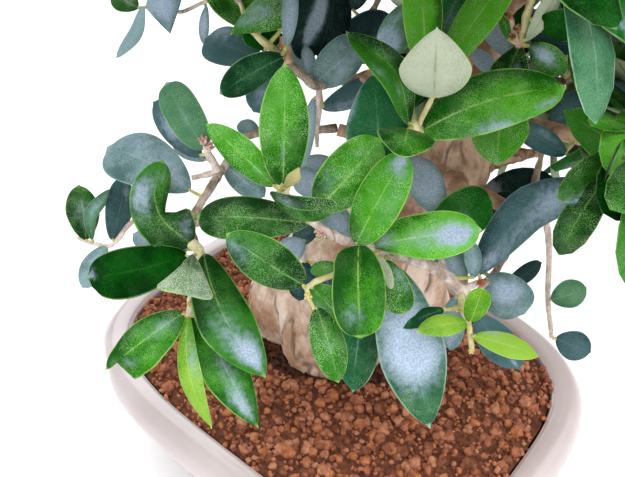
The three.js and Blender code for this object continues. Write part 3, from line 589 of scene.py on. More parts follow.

# Leaves that the picture shows, by twig: foot, tip and width there, kind, how much nearer the tip is, what is special
# In what is special, the patches of sheen are painted reflections of the soft light, and lit is painted light and
# shade across the halves
LEAVES = {
    "near": [
        ((283, 186), (285, 66), 50, "bright", 14, dict(roll=8, widest=0.52, ends=(1.9, 1.65), arch=0.03, shade=0.2,
         fade=0.6, lit=-0.2, bloom=[(0.3, 0, 0.1, 0.2, 0.3)])),
        ((274, 186), (208, 125), 31, "bright", 4, dict(roll=-24, side=0.04, widest=0.5, ends=(1.8, 1.75),
         bloom=[(0.3, 0.1, 0.1, 0.2, 0.4)])),
        ((284, 188), (299, 168), 13, "cream", 6, dict(roll=25, lift=6, widest=0.66, ends=(1.3, 1.1), fold=0.6)),
        ((270, 194), (336, 205), 24, "mid", 12, dict(roll=42, side=0.09, lift=7, arch=0.1, ends=(1.8, 2), lit=0.5,
         shade=0.2, bloom=[(0.3, -0.4, 0.2, 0.4, 0.5)])),
        ((318, 208), (379, 140), 53, "bright", 2, dict(roll=18, lift=3, widest=0.5, ends=(2.1, 2.1), shade=0.3,
         fade=0.7, dust=1, bloom=[(0.75, -0.3, 0.1, 0.2, 0.35), (0.3, -0.5, 0.15, 0.3, 0.4)])),
        ((356, 244), (405, 155), 47, "bright", 16, dict(roll=-14, lift=5, arch=0.05, widest=0.5, ends=(1.9, 2.2),
         shade=0.7, fade=0.6, lit=0.2, bloom=[(0.93, 0, 0.12, 0.5, 1), (0.6, 0.5, 0.25, 0.35, 0.25)])),
        ((372, 246), (479, 230), 47, "vivid", 8, dict(roll=-14, arch=0.08, widest=0.6, ends=(1.6, 2.1), shade=0.5,
         fade=0.8, dust=1.1, left=[(0, 1.4), (0.3, 1.2), (0.5, 1), (1, 1)],
         right=[(0, 0.6), (0.3, 0.86), (0.5, 1), (1, 1)],
         bloom=[(0.8, 0.1, 0.15, 0.5, 1.5), (0.5, 0.1, 0.25, 0.5, 0.5), (0.12, 0, 0.1, 0.6, 0.7)])),
        ((359, 245), (361, 336), 53, "bright", 14, dict(roll=12, lift=5, widest=0.54, ends=(2.3, 2.6), arch=0.09,
         shade=-0.25, fade=0.5, dust=0.18, lit=-0.2, left=[(0, 0.75), (0.15, 0.85), (0.4, 1), (1, 1)],
         right=[(0, 1.6), (0.12, 1.25), (0.3, 1), (1, 1)], bloom=[(0.8, 0.2, 0.14, 0.5, 0.4)])),
        ((308, 223), (199, 217), 44, "mid", -8, dict(roll=24, arch=0.05, widest=0.62, ends=(1.7, 2.3), shade=-0.2,
         fade=0.4, lit=-0.4)),
        ((366, 300), (353, 390), 42, "pine", -2, dict(lift=-8, ends=(2, 1.7), shade=0.2, dust=0.5, lit=0.3)),
        ((388, 264), (429, 425), 66, "teal", -4, dict(roll=-12, lift=-3, arch=0.07, widest=0.56, ends=(1.8, 1.45),
         shade=-0.2, fade=-0.4, bloom=[(0.54, 0, 0.2, 0.9, 1.3), (0.15, 0.1, 0.25, 0.9, 0.9)])),
        ((385, 260), (404, 313), 32, "mid", 2, dict(roll=16, lift=4, widest=0.6, ends=(1.7, 2.4), shade=0.2, dust=1.4,
         bloom=[(0.4, -0.6, 0.3, 0.3, 0.5)])),
        ((374, 256), (392, 288), 11, "pale", 6, dict(roll=40, lift=5, side=-0.12, ends=(1.5, 2.4))),
    ],
    "near_side": [
        ((304, 285), (228, 235), 46, "mid", 10, dict(roll=-20, lift=4, widest=0.5, ends=(1.8, 1.8), shade=-0.1,
         fade=1.4, lit=0.2, dust=0.6, bloom=[(0.85, -0.3, 0.2, 0.6, 0.4)])),
        ((337, 266), (311, 271), 15, "mid", 2, dict(ends=(1.8, 2.2))),
        ((312, 287), (350, 324), 37, "mid", -2, dict(roll=24, lift=-3, shade=1, ends=(1.8, 1.9),
         bloom=[(0.5, 0.3, 0.3, 0.4, 0.35)])),
    ],
    "near_drop": [
        ((317, 308), (338, 381), 34, "mid", 4, dict(roll=-18, ends=(1.9, 1.8), shade=0.4, dust=1.2,
         bloom=[(0.5, 0, 0.12, 0.24, 0.3)])),
    ],
    "young": [
        # A dark leaf put where the lime leaf's shadow falls on the bluish leaf below it: painted shadow
        ((444, 309), (401, 327), 18, "pine", 0, dict(lift=9, ends=(1.6, 1.5), shade=-0.2, dust=0.3)),
        ((470, 322), (482, 289), 24, "lime", 8, dict(roll=16, lift=4, widest=0.6, ends=(1.8, 2.2), shade=0.1)),
        ((467, 322), (418, 331), 22, "lime", 8, dict(roll=30, lift=7, ends=(1.8, 1.5))),
        ((474, 336), (537, 356), 23, "lime", 4, dict(roll=-30, lift=3, ends=(1.7, 1.6), shade=1,
         bloom=[(0.25, -0.7, 0.25, 0.3, 0.4)])),
        ((478, 316), (519, 368), 36, "slate", -6, dict(lift=-6, shade=0.8, ends=(1.8, 1.8),
         bloom=[(0.9, 0, 0.12, 0.24, 0.6)])),
        ((456, 296), (450, 349), 25, "blue", -6, dict(lift=-6, bloom=[(0.7, 0, 0.3, 0.6, 0.8)])),
    ],
    "near_back": [
        ((428, 232), (491, 200), 49, "deep", -2, dict(roll=24, lift=-2, widest=0.55, ends=(1.7, 2.4), shade=0.6,
         dust=1.6, bloom=[(0.5, 0.1, 0.12, 0.2, 0.3)])),
        ((440, 214), (412, 158), 36, "blue", -14, dict(roll=10, lift=-6, ends=(1.8, 2.2),
         bloom=[(0.6, 0, 0.4, 0.9, 1.7)])),
        ((474, 278), (471, 241), 17, "blue", -2, dict(roll=30, lift=-2, shade=0.2, bloom=[(0.4, 0, 0.3, 0.6, 0.6)])),
        ((464, 280), (440, 250), 30, "blue", -4, dict(roll=30, lift=-4, bloom=[(0.5, 0, 0.3, 0.6, 0.8)])),
    ],
    "left": [
        ((191, 244), (162, 162), 45, "mid", 2, dict(roll=14, via=[(163, 221), (153, 194)], twist=30, arch=0.06,
         ends=(2, 2), widest=0.5, left=[(0, 1.3), (0.4, 1.15), (1, 1)],
         right=[(0, 1.3), (0.22, 1.4), (0.32, 1.1), (0.4, 0.2), (0.55, 0.5), (0.8, 0.85), (1, 1)],
         bloom=[(0.66, -0.55, 0.17, 0.36, 1), (0.85, 0.2, 0.1, 0.3, 0.35), (0.14, 0.5, 0.1, 0.4, 0.5)], shade=0,
         fade=1.4, lit=-0.3, dust=0.5)),
        ((190, 190), (109, 148), 57, "blue", -10, dict(side=0.04, widest=0.68, ends=(1.6, 2.3), arch=0.05, shade=0.2,
         lit=0.2, bloom=[(0.3, 0, 0.25, 0.8, 0.75), (0.75, 0.5, 0.2, 0.3, 0.5)])),
        ((224, 163), (264, 196), 27, "blue", 0, dict(lift=-3, ends=(1.9, 2), shade=0,
         bloom=[(0.6, 0, 0.3, 0.6, 0.3)])),
        ((188, 250), (134, 234), 30, "blue", -8, dict(roll=30, lift=-5, bloom=[(0.5, 0, 0.5, 0.9, 1.1)])),
        ((256, 137), (241, 121), 18, "blue", -4, dict(ends=(2, 2.4), bloom=[(0.5, 0, 0.4, 0.8, 0.5)])),
    ],
    "left_end": [
        ((187, 255), (89, 277), 50, "deep", 0, dict(roll=22, side=-0.07, arch=0.08, widest=0.58, ends=(1.7, 2.4),
         shade=0.1, dust=0.3, bloom=[(0.97, 0.2, 0.04, 0.4, 0.8)], left=[(0, 1), (0.9, 1), (0.95, 0.85), (1, 1)])),
        ((193, 254), (184, 294), 54, "grey", 26, dict(roll=0, widest=0.9, ends=(0.88, 5), arch=0.1, lift=7, shade=0.1,
         fade=2, dust=1.2, right=[(0, 1), (0.5, 0.72), (1, 1)], bloom=[(0.95, -0.6, 0.3, 0.6, 0.3)])),
        ((204, 254), (264, 375), 54, "mid", 12, dict(roll=-16, arch=0.07, lift=3, widest=0.56, ends=(1.7, 1.5),
         side=0.09, shade=0.3, fade=1.6, dust=0.15,
         bloom=[(0.84, -0.1, 0.14, 0.6, 1.2), (0.58, 0.2, 0.2, 0.5, 0.45)])),
        ((197, 300), (257, 425), 46, "bright", 4, dict(roll=-28, lift=-2, widest=0.55, ends=(1.7, 1.35), side=0.06,
         dust=0.3, shade=0.1, bloom=[(0.82, 0.2, 0.16, 0.5, 0.9), (0.5, 0, 0.2, 0.4, 0.45)])),
        ((183, 313), (107, 369), 40, "bright", 8, dict(roll=14, ends=(1.7, 1.6), shade=0.2, widest=0.52, lit=-0.4,
         fade=-0.6, dust=0.6, left=[(0, 1.15), (0.46, 1.2), (0.7, 1.5), (0.83, 1.85), (0.875, 0.1), (1, 0.3)],
         right=[(0, 1.05), (0.5, 0.97), (0.8, 0.87), (1, 1)],
         bloom=[(0.25, 0, 0.2, 0.5, 0.45), (0.76, -0.3, 0.06, 0.2, 0.6)])),
        ((188, 316), (211, 426), 22, "lime", 10, dict(roll=34, lift=2, ends=(1.7, 1.35), side=0.07,
         bloom=[(0.4, -0.5, 0.25, 0.5, 0.5)])),
    ],
    "left_spur": [
        ((205, 149), (167, 84), 37, "teal", 6, dict(roll=-16, widest=0.56, ends=(2.1, 2.6), shade=0.9,
         bloom=[(0.5, 0, 0.12, 0.24, 0.35)])),
        ((201, 156), (154, 103), 28, "slate", -14, dict(roll=-26, lift=-4, ends=(1.8, 2.2), shade=0.8,
         bloom=[(0.5, 0, 0.3, 0.8, 0.8)])),
        ((206, 160), (172, 143), 15, "blue", -10, dict(roll=-20, lift=-6, bloom=[(0.5, 0, 0.5, 0.9, 1)])),
    ],
    "far_left": [
        ((112, 240), (124, 179), 27, "slate", -4, dict(roll=30, ends=(1.6, 2.2), bloom=[(0.8, 0.3, 0.15, 0.3, 0.6)])),
        ((92, 240), (111, 190), 13, "teal", 0, dict(via=[(90, 214)], lift=3, ends=(1.6, 2),
         bloom=[(0.6, 0, 0.3, 0.8, 0.6)])),
        ((86, 240), (79, 186), 32, "mid", 0, dict(ends=(1.6, 1.8), shade=0, bloom=[(0.5, 0, 0.3, 0.5, 0.5)])),
        ((106, 246), (83, 287), 24, "blue", 0, dict(bloom=[(0.5, 0, 0.4, 0.8, 0.5)])),
    ],
    "upper_left": [
        ((284, 57), (221, 93), 33, "pine", 4, dict(roll=-22, lift=3, widest=0.58, ends=(1.8, 1.9), side=0.05, shade=0,
         dust=0.4)),
        ((287, 46), (291, -20), 16, "blue", 6, dict(lift=14, ends=(1.8, 2), shade=0.6,
         bloom=[(0.5, 0, 0.5, 0.9, 1)])),
        ((313, 84), (292, 38), 20, "blue", -6, dict(lift=-8, shade=0.8, bloom=[(0.5, 0, 0.5, 0.9, 1)])),
        ((282, 66), (254, 111), 38, "slate", -2, dict(lift=-8, ends=(1.8, 2.1), shade=0.8,
         bloom=[(0.6, 0, 0.3, 0.6, 0.6)])),
    ],
    "upper_left_end": [
        ((259, 59), (206, 39), 40, "slate", -10, dict(roll=26, lift=-6, ends=(1.8, 2.5), widest=0.6, shade=1,
         bloom=[(0.75, 0.6, 0.3, 0.5, 0.6)])),
        ((284, 37), (243, 38), 26, "deep", 4, dict(roll=30, lift=-3, shade=0.6)),
        ((298, 5), (232, 34), 36, "mid", 6, dict(roll=-26, lift=4, widest=0.45, ends=(2.2, 1.4), shade=1.3,
         left=[(0, 1), (0.3, 0.75), (1, 0.3)], right=[(0, 1.3), (1, 1.3)], dust=1.8,
         bloom=[(0.6, 0.5, 0.4, 0.5, 0.55)])),
        ((262, 30), (206, -26), 42, "bright", 0, dict(roll=16, lift=1, ends=(1.7, 1.8), shade=0.1)),
    ],
    "top_dark": [
        ((303, 60), (317, -30), 37, "dusky", 6, dict(roll=24, lift=4, shade=0.6, ends=(2.2, 2), widest=0.45,
         bloom=[(0.27, 0, 0.11, 0.26, 1.7), (0.45, 0.25, 0.12, 0.3, 1.8), (0.65, 0.45, 0.14, 0.3, 1.6)])),
        ((312, 76), (305, 46), 13, "blue", 2, dict(lift=4, bloom=[(0.5, 0, 0.5, 0.9, 1.3)])),
        ((324, 62), (334, -20), 42, "dusky", 2, dict(roll=26, shade=0.2, ends=(1.8, 2))),
        ((315, 83), (360, 42), 40, "blue", 0, dict(ends=(2, 2.4), shade=0.2, bloom=[(0.5, 0.3, 0.25, 0.5, 0.6)])),
        ((322, 108), (380, 80), 25, "slate", -8, dict(roll=26, lift=-6, ends=(1.7, 2.2), shade=0.9,
         bloom=[(0.3, 0.6, 0.3, 0.5, 0.6)])),
        ((336, 45), (396, 30), 50, "slate", -4, dict(roll=26, lift=-4, shade=-0.6, fade=1.6, dust=0.3,
         ends=(1.8, 2.1), bloom=[(0.85, 0, 0.15, 0.8, 0.4)])),
        ((352, 10), (362, -24), 22, "slate", -4, dict(roll=26, shade=0)),
    ],
    "top_left": [
        ((138, 8), (112, -6), 24, "grey", 0, dict(shade=-0.4, dust=0.1)),
        ((143, 6), (117, 57), 13, "blue", 4, dict(roll=30, via=[(137, 34)], ends=(1.7, 1.6), shade=0.8,
         bloom=[(0.4, 0, 0.3, 0.6, 0.4)])),
        ((161, -14), (170, 33), 36, "blue", 8, dict(roll=10, widest=0.4, ends=(1.8, 1.1),
         bloom=[(0.5, 0, 0.4, 0.8, 1.1)])),
        ((206, 6), (204, 44), 10, "blue", -2, dict(roll=40, bloom=[(0.5, 0, 0.4, 0.8, 1)])),
    ],
    "pale_stalk": [
        ((434, 98), (437, 29), 72, "pale", 20, dict(roll=0, lift=0.5, widest=0.44, ends=(2.1, 1.25), arch=0.02)),
    ],
    "near_top": [
        ((409, 124), (348, 33), 33, "mid", 4, dict(roll=26, via=[(393, 74)], lift=4, fold=0.5, shade=0.2, lit=-0.9,
         ends=(1.6, 1.5), left=[(0, 1.2), (1, 1.2)], right=[(0, 0.75), (1, 0.75)], dust=0.6,
         bloom=[(0.55, -0.6, 0.12, 0.2, 0.5), (0.3, -0.3, 0.1, 0.2, 0.4), (0.75, 0.2, 0.12, 0.2, 0.3)])),
        ((408, 129), (402, 156), 59, "bright", 20, dict(roll=0, lift=4, arch=0.1, widest=0.46, ends=(1.5, 1.6),
         shade=-0.1, dust=0.7)),
        ((422, 131), (563, 88), 59, "vivid", 10, dict(roll=-20, lift=3, widest=0.47, ends=(1.8, 2), side=-0.05,
         shade=0, lit=0.5, fade=0.3,
         bloom=[(0.5, 0.84, 0.16, 0.12, 1.4), (0.88, 0.7, 0.12, 0.2, 0.7), (0.25, 0.2, 0.1, 0.2, 0.3)])),
        ((504, 104), (497, 164), 54, "bright", 8, dict(lift=-8, ends=(1.9, 1.5), shade=0.9, dust=1.2,
         bloom=[(0.97, 0, 0.05, 0.3, 0.5)])),
        ((440, 75), (517, -34), 38, "vivid", 4, dict(roll=-24, lift=0, shade=2.4, lit=0.3, dust=1.1)),
        ((430, 66), (474, -36), 40, "pine", 0, dict(roll=-20, lift=-5, shade=1.2,
         bloom=[(0.42, 0.2, 0.14, 0.24, 0.7)])),
        ((424, 70), (418, -44), 39, "vivid", 10, dict(roll=22, lift=4, ends=(1.8, 1.8), shade=0.9, lit=-1.4)),
        ((415, 2), (384, 55), 34, "teal", -2, dict(lift=-2, ends=(1.8, 2.2), shade=1.4,
         bloom=[(0.82, 0.2, 0.2, 0.7, 2.5), (0.4, 0.5, 0.2, 0.3, 0.8)])),
    ],
    "near_top_low": [
        ((380, 163), (373, 75), 64, "pine", -2, dict(roll=14, lift=1, widest=0.34, shade=0.6, dust=0.3, ends=(2, 1.4),
         bloom=[(0.6, -0.95, 0.3, 0.1, 0.6)])),
    ],
    "corner_top": [
        ((527, 40), (561, -16), 18, "pale", 4, dict(roll=30, lift=4)),
        ((538, 20), (580, 30), 32, "deep", 2, dict(roll=26, lift=2)),
        ((530, 38), (584, 46), 22, "dusky", 2, dict(roll=26, lift=0, shade=0.8)),
    ],
    "corner": [
        ((520, 45), (503, 90), 38, "mid", -2, dict(roll=24, lift=0, widest=0.6, ends=(1.3, 1.8), shade=-0.2,
         bloom=[(0.5, -0.4, 0.15, 0.3, 0.4)])),
        ((508, 57), (487, 14), 25, "blue", -6, dict(lift=-6, shade=1, bloom=[(0.5, 0, 0.4, 0.8, 1.8)])),
        ((494, 76), (474, 49), 17, "blue", -6, dict(lift=-8, shade=1, bloom=[(0.5, 0, 0.6, 1, 2)])),
        ((529, 45), (566, 72), 27, "mid", 4, dict(roll=26, lift=2, bloom=[(0.42, -0.1, 0.28, 0.5, 1.1)])),
        ((508, 39), (501, 11), 11, "mid", 2, dict(roll=30, lift=2)),
    ],
    "right": [
        ((476, 275), (588, 188), 43, "slate", -2, dict(roll=30, via=[(489, 251), (511, 221), (534, 203)], lift=6,
         ends=(1.7, 2.1), shade=0.5, lit=0.5, fade=0.6,
         bloom=[(0.45, 0.4, 0.25, 0.5, 0.4), (0.12, 0.3, 0.12, 0.6, 0.6), (0.75, 0, 0.18, 0.8, 0.7)])),
        ((532, 205), (481, 213), 34, "dusky", -4, dict(roll=16, lift=-4, ends=(1.8, 2.3), shade=0.3)),
        ((562, 194), (483, 211), 46, "dusky", -6, dict(roll=16, via=[(522, 191)], lift=-6, ends=(1.9, 2.6), shade=0.5,
         bloom=[(0.86, 0.6, 0.18, 0.6, 1.2)])),
        ((486, 277), (524, 313), 46, "blue", -2, dict(lift=2, ends=(2, 2.5), shade=0,
         bloom=[(0.45, -0.2, 0.3, 0.6, 1.2)])),
        ((504, 286), (541, 263), 17, "dusky", -8, dict(roll=26, lift=-4, shade=1)),
        ((470, 262), (448, 226), 30, "blue", -10, dict(lift=-8, bloom=[(0.5, 0, 0.4, 0.8, 1.2)])),
    ],
    "right_over": [
        ((566, 154), (516, 126), 24, "slate", 2, dict(roll=16, lift=3, ends=(1.8, 2.2), shade=0.8, lit=0.6,
         bloom=[(0.5, 0.5, 0.3, 0.3, 0.5)])),
    ],
    "right_up": [
        ((548, 124), (590, 100), 36, "slate", -4, {}),
    ],
    "hanging": [
        ((556, 338), (590, 352), 30, "slate", 4, {}),
        ((551, 300), (586, 288), 28, "teal", 4, dict(roll=24)),
    ],
    "crossing": [
        ((314, 97), (303, 166), 15, "blue", -2, dict(lift=-3, shade=0.8, bloom=[(0.4, 0, 0.4, 0.9, 1.1)])),
    ],
    "inner": [
        ((330, 158), (298, 170), 18, "blue", 2, dict(shade=0.8, bloom=[(0.5, 0, 0.4, 0.8, 1)])),
        ((318, 197), (296, 169), 27, "blue", 3, dict(lift=4, shade=1, bloom=[(0.5, 0, 0.4, 0.8, 1.3)])),
        ((352, 240), (322, 208), 32, "blue", 4, dict(roll=24, lift=6, bloom=[(0.5, 0, 0.3, 0.6, 1.1)])),
        ((304, 240), (280, 258), 26, "blue", 2, dict(lift=2, bloom=[(0.5, 0, 0.5, 0.9, 1.5)])),
        ((306, 262), (299, 300), 28, "slate", 2, dict(lift=2, shade=0)),
        ((318, 228), (293, 240), 20, "slate", 0, dict(roll=26, lift=2)),
        ((322, 262), (334, 298), 26, "slate", -2, dict(roll=26, lift=2, shade=0)),
    ],
}

twigs = Pile()
shown_leaves = Pile()
twig_paths = {}
for name, (places, (foot_radius, tip_radius), finish) in TWIGS.items():
    path = smooth_path([seen_at(*place) for place in places], 5)
    twig_paths[name] = path
    tube(twigs, path, np.linspace(foot_radius, tip_radius, len(path)), 8, finish, 0.35)


def shown_leaf(twig, foot_px, tip_px, width_px, kind, nearer, lift=1.0, roll=20, via=(), **shape):
    """A leaf on the place of its twig that is nearest to its foot in the picture. foot_px, tip_px and width_px are
    measured there. The tip is nearer than the foot by some millimetres, and lift brings the whole leaf nearer."""
    path = twig_paths[twig]
    off = np.linalg.norm(picture_place(path)[:, :2] - np.array(foot_px, float), axis=1)
    root = path[off.argmin()]
    depth = picture_place(root)[2] - lift
    foot, tip = seen_at(*foot_px, depth), seen_at(*tip_px, depth - nearer)
    width = width_px * (depth - nearer / 2) / FOCAL_PX / math.cos(math.radians(roll))
    between = [seen_at(*place, depth - nearer * (k + 1) / (len(via) + 1)) for k, place in enumerate(via)]
    blade(shown_leaves, foot, tip, width, unit(EYE - foot), kind, FINE, roll=roll, via=between, **shape)
    stalk(shown_leaves, root, foot + (tip - foot) * STALK_INTO_BLADE)


for twig, leaves in LEAVES.items():
    for *places, special in leaves:
        shown_leaf(twig, *places, **special)


# The rest of the crown, by the seeded rule
def trunk_point(up):
    k = int(np.searchsorted(TRUNK[:, 0], up, side="right"))
    low, high = TRUNK[k - 1], TRUNK[k]
    middle = lerp(low, high, (up - low[0]) / (high[0] - low[0]))
    return np.array([middle[1], middle[2], up])


def bough_points(foot, tip, bow):
    foot = trunk_point(foot)
    tip = np.array(tip, float)
    return [foot, lerp(foot, tip, 0.5) + UP * bow, tip]


LIMBS = []
for foot, tip, radii, bow in BOUGHS.values():
    line = bough_points(foot, tip, bow)
    LIMBS += [(line[0], line[1], radii[0]), (line[1], line[2], lerp(*radii, 0.5))]
LIMBS.append((np.array(CUT_STUB["foot"], float), np.array(CUT_STUB["tip"], float), CUT_STUB["radii"][0]))


def in_own_space(points, name):
    own = np.array(MASSES[name][0], float)
    fine = np.ones(len(points), bool)
    for other, (centre, _, _) in MASSES.items():
        if other != name:
            far = np.array(centre, float)
            near_sum = ((points - far) ** 2).sum(1) - ((points - own) ** 2).sum(1)
            fine &= near_sum / (2 * np.linalg.norm(own - far)) > SPACE_CLEAR
    return fine


def clear_of_limbs(points):
    fine = np.ones(len(points), bool)
    for start, end, radius in LIMBS:
        line = end - start
        share = np.clip((points - start) @ line / (line @ line), 0, 1)
        off = np.linalg.norm(points - start - share[:, None] * line, axis=1)
        fine &= off > radius + LIMB_CLEAR
    return fine


def clear_of_trunk(points):
    sections = np.stack([np.interp(points[:, 2], TRUNK[:, 0], TRUNK[:, k]) for k in range(1, 5)], axis=1)
    off = (points[:, :2] - sections[:, :2]) / (sections[:, 2:] + TRUNK_CLEAR)
    return ((off ** 2).sum(1) > 1) | (points[:, 2] > TRUNK[-1, 0] + TRUNK_CLEAR)


def in_crown(points):
    return (((points - np.array(CROWN["middle"])) / np.array(CROWN["reach"])) ** 2).sum(1) < 1


def in_open_side(points):
    off = points - EYE
    ahead = -off @ BACKWARD
    spread = OPEN_SIDE["spread"] * ahead
    seen = (np.abs(off @ RIGHTWARD) < spread) & (np.abs(off @ UPWARD) < spread)
    return seen & ((points[:, 0] < OPEN_SIDE["across"]) | (points[:, 1] < OPEN_SIDE["back"]))


def may_hold(points, name):
    points = np.asarray(points, float)
    return bool(((points[:, 2] > LOWEST_LEAF) & in_own_space(points, name) & clear_of_limbs(points)
                 & clear_of_trunk(points) & in_crown(points) & ~in_open_side(points)).all())


SEEDED = {"shoot": (26, 46), "leaf": (32, 46), "width": 0.44, "feet": (0.2, 0.98), "outward": 0.75,
          "upward": 0.2, "pair_every": 10.0, "spread": (68, 34), "stray": 26, "attempts": 5, "spacing": 7.0,
          "bend": (-2, 3), "thick": (1.2, 0.7), "pairs": (0.25, 0.98), "stem": 0.92, "stem_end": 1.3, "run_on": 5}
# Ranges for the crown's leaves. The lit range paints one half of each leaf lighter and the other darker, painted
# light and shade, and each leaf gets a patch of painted sheen up to a set strength
CROWN_LEAF = {"size": (0.85, 1.12), "broad": (0.85, 1.1), "arch": (0.03, 0.1), "roll": (-14, 14),
              "widest": (0.5, 0.6), "blunt": (1.6, 2.3), "patch": (-0.6, 0.6), "sheen_amount": 0.9, "shade": (-0.2, 0.9),
              "fade": (-0.4, 1), "lit": (-0.5, 0.5), "dust": (0.3, 1.3), "stalk": 2.5, "sag": 0.08}
CROWN_KINDS = ("deep", "deep", "mid", "mid", "bright", "vivid", "teal", "slate")
LOW_MASSES = ("back_right", "far_right", "right_front")
low_leaves = Pile()
high_leaves = Pile()
leaf_middles = []


def grow_leaf(name, chance, node, along, roll, spread, length, kind):
    """A leaf of the crown on a shoot, tried a few times, and left out where it would leave its mass's space."""
    def some(part):
        return lerp(*CROWN_LEAF[part], chance.random())

    level = unit(np.cross(along, UP))
    facing = along + 0.7 * UP
    for attempt in range(SEEDED["attempts"]):
        stray = SEEDED["stray"] * (attempt + 1)
        out = turned(level, along, math.radians(roll + stray * (chance.random() - 0.5)))
        wide_open = math.radians(spread + stray * (chance.random() - 0.3))
        way = unit(along * math.cos(wide_open) + out * math.sin(wide_open))
        size = length * some("size")
        foot = node + way * CROWN_LEAF["stalk"]
        tip = foot + way * size - UP * CROWN_LEAF["sag"] * size
        middle = lerp(foot, tip, 0.5)
        side = unit(np.cross(way, facing)) * 0.5 * SEEDED["width"] * size
        samples = [foot, middle, middle + side, middle - side, tip, lerp(foot, tip, 0.75) + 0.8 * side,
                   lerp(foot, tip, 0.75) - 0.8 * side]
        if not may_hold(samples, name):
            continue
        if leaf_middles and min(np.linalg.norm(np.array(leaf_middles) - middle, axis=1)) < SEEDED["spacing"]:
            continue
        leaf_middles.append(middle)
        crown = low_leaves if name in LOW_MASSES else high_leaves
        # Each crown leaf gets one patch of painted sheen, a painted reflection, at a random place
        blade(crown, foot, tip, SEEDED["width"] * size * some("broad"), facing, kind, PLAIN,
              arch=some("arch"), roll=some("roll"), widest=some("widest"), ends=(1.7, some("blunt")),
              bloom=[(chance.random(), some("patch"), 0.2, 0.4, CROWN_LEAF["sheen_amount"] * chance.random())],
              shade=some("shade"), fade=some("fade"), lit=some("lit"), dust=some("dust"))
        stalk(crown, node, foot, 0.9, 4)
        return


def grow_shoot(name, chance, foot, tip, leaf_length, turn):
    bend = lerp(foot, tip, 0.5) + UP * lerp(*SEEDED["bend"], chance.random())
    path = smooth_path([foot, bend, tip], 3)
    if not may_hold(path[2:], name):
        return
    tube(twigs, path, np.linspace(*SEEDED["thick"], len(path)), 5, YOUNG_BARK, 0.2)
    length = np.linalg.norm(tip - foot)
    pairs = max(2, round(length / SEEDED["pair_every"]))
    kind = chance.choice(CROWN_KINDS)
    for pair in range(pairs):
        share = lerp(*SEEDED["pairs"], pair / (pairs - 1))
        k = min(int(share * (len(path) - 1)), len(path) - 2)
        node = lerp(path[k], path[k + 1], share * (len(path) - 1) - k)
        along = unit(path[k + 1] - path[k])
        spread = lerp(*SEEDED["spread"], share)
        for half in (0, 180):
            grow_leaf(name, chance, node, along, turn + 90 * pair + half, spread, leaf_length, kind)


def grow_mass(name, centre, shoots, seed):
    """The stem runs on from the bough's tip to the middle of the space, and shoots leave it by the golden turn."""
    chance = random.Random(seed)
    centre = np.array(centre, float)
    if name == "top":
        line = [np.array([TRUNK[k, 1], TRUNK[k, 2], TRUNK[k, 0]]) for k in (-2, -1)]
        radius = TRUNK[-1, 3] * SEEDED["stem"]
    else:
        foot, tip, radii, bow = BOUGHS[name]
        line = bough_points(foot, tip, bow)
        radius = radii[1] * SEEDED["stem"]
    start = line[-1]
    ahead = start + unit(start - line[-2]) * SEEDED["run_on"]
    stem = smooth_path([start, ahead, centre], 6)
    tube(twigs, stem, np.linspace(radius, SEEDED["stem_end"], len(stem)), 8, TWIG_BARK, 0.3)
    outward = unit(centre - np.array(CROWN["middle"]))
    for k in range(shoots):
        share = (k + 0.5) / shoots
        place = lerp(*SEEDED["feet"], share) * (len(stem) - 1)
        low = min(int(place), len(stem) - 2)
        foot = lerp(stem[low], stem[low + 1], place - low)
        height = 1 - 2 * share
        ring = math.sqrt(1 - height * height)
        turn = GOLDEN_TURN * k + seed
        reach = unit(np.array([ring * math.cos(turn), ring * math.sin(turn), height])
                     + outward * SEEDED["outward"] + UP * SEEDED["upward"])
        tip = foot + reach * lerp(*SEEDED["shoot"], chance.random())
        grow_shoot(name, chance, foot, tip, lerp(*SEEDED["leaf"], chance.random()), 90 * chance.random())


for name, (centre, shoots, seed) in MASSES.items():
    if shoots:
        grow_mass(name, centre, shoots, seed)


# Bark
FOOT_TINT_FADES = (0.135, 0.21)
CREASE_SHADE = 0.72


def bark_finish(name, dark, light, scale, relief, foot_tint=None):
    """Pale bark with darker streaks along it, fine grain across and creases. A trunk's foot has a tint of its own."""
    look = Look(name, 0.85, specular=0.3)
    streaks = look.cloud(1.0, 5.0, look.stretched((scale, scale, 0.3 * scale)))
    grain = look.cloud(scale * 3.5, 4.0)
    tone = (streaks * 0.5 + grain * 0.2 + look.cloud(48, 2.0) * 0.3).over(0.38, 0.62)
    colour = tone.between(srgb(*dark), srgb(*light))
    if foot_tint:
        high = look.node("ShaderNodeSeparateXYZ", {}, {0: look.place()}, 2).over(*FOOT_TINT_FADES)
        colour = high.between(tone.between(srgb(*foot_tint[0]), srgb(*foot_tint[1])), colour)
    folds = look.cloud(1.0, 3.0, look.stretched((0.5 * scale, 0.5 * scale, 0.16 * scale)))
    crease = (1 - abs(folds - 0.5).over(0, 0.035)) * look.cloud(60, 2.0).over(0.35, 0.65)
    colour = (crease * 0.75).between(colour, srgb(*[CREASE_SHADE * level for level in dark]))
    look.paint(colour)
    look.raised(streaks * 0.6 + grain * 0.4 - crease * 0.5, relief, 0.9)
    return look.material


BARK = bark_finish("trunk_bark", (128, 92, 70), (222, 188, 164), 90, 0.0022, ((184, 144, 114), (248, 226, 208)))
BOUGH_BARK = bark_finish("bough_bark", (150, 114, 92), (222, 182, 156), 130, 0.0012)
TWIG_MATERIALS = [bark_finish("twig_bark", (130, 114, 98), (204, 190, 174), 240, 0.0006),
                  plain_finish("young_bark", (194, 186, 128), (228, 218, 170), 260, 0.6),
                  bark_finish("pale_twig_bark", (176, 154, 142), (246, 230, 222), 260, 0.0005),
                  plain_finish("cream_bark", (204, 196, 148), (234, 228, 192), 320, 0.7),
                  plain_finish("russet_bark", (182, 138, 114), (218, 186, 164), 300, 0.7)]


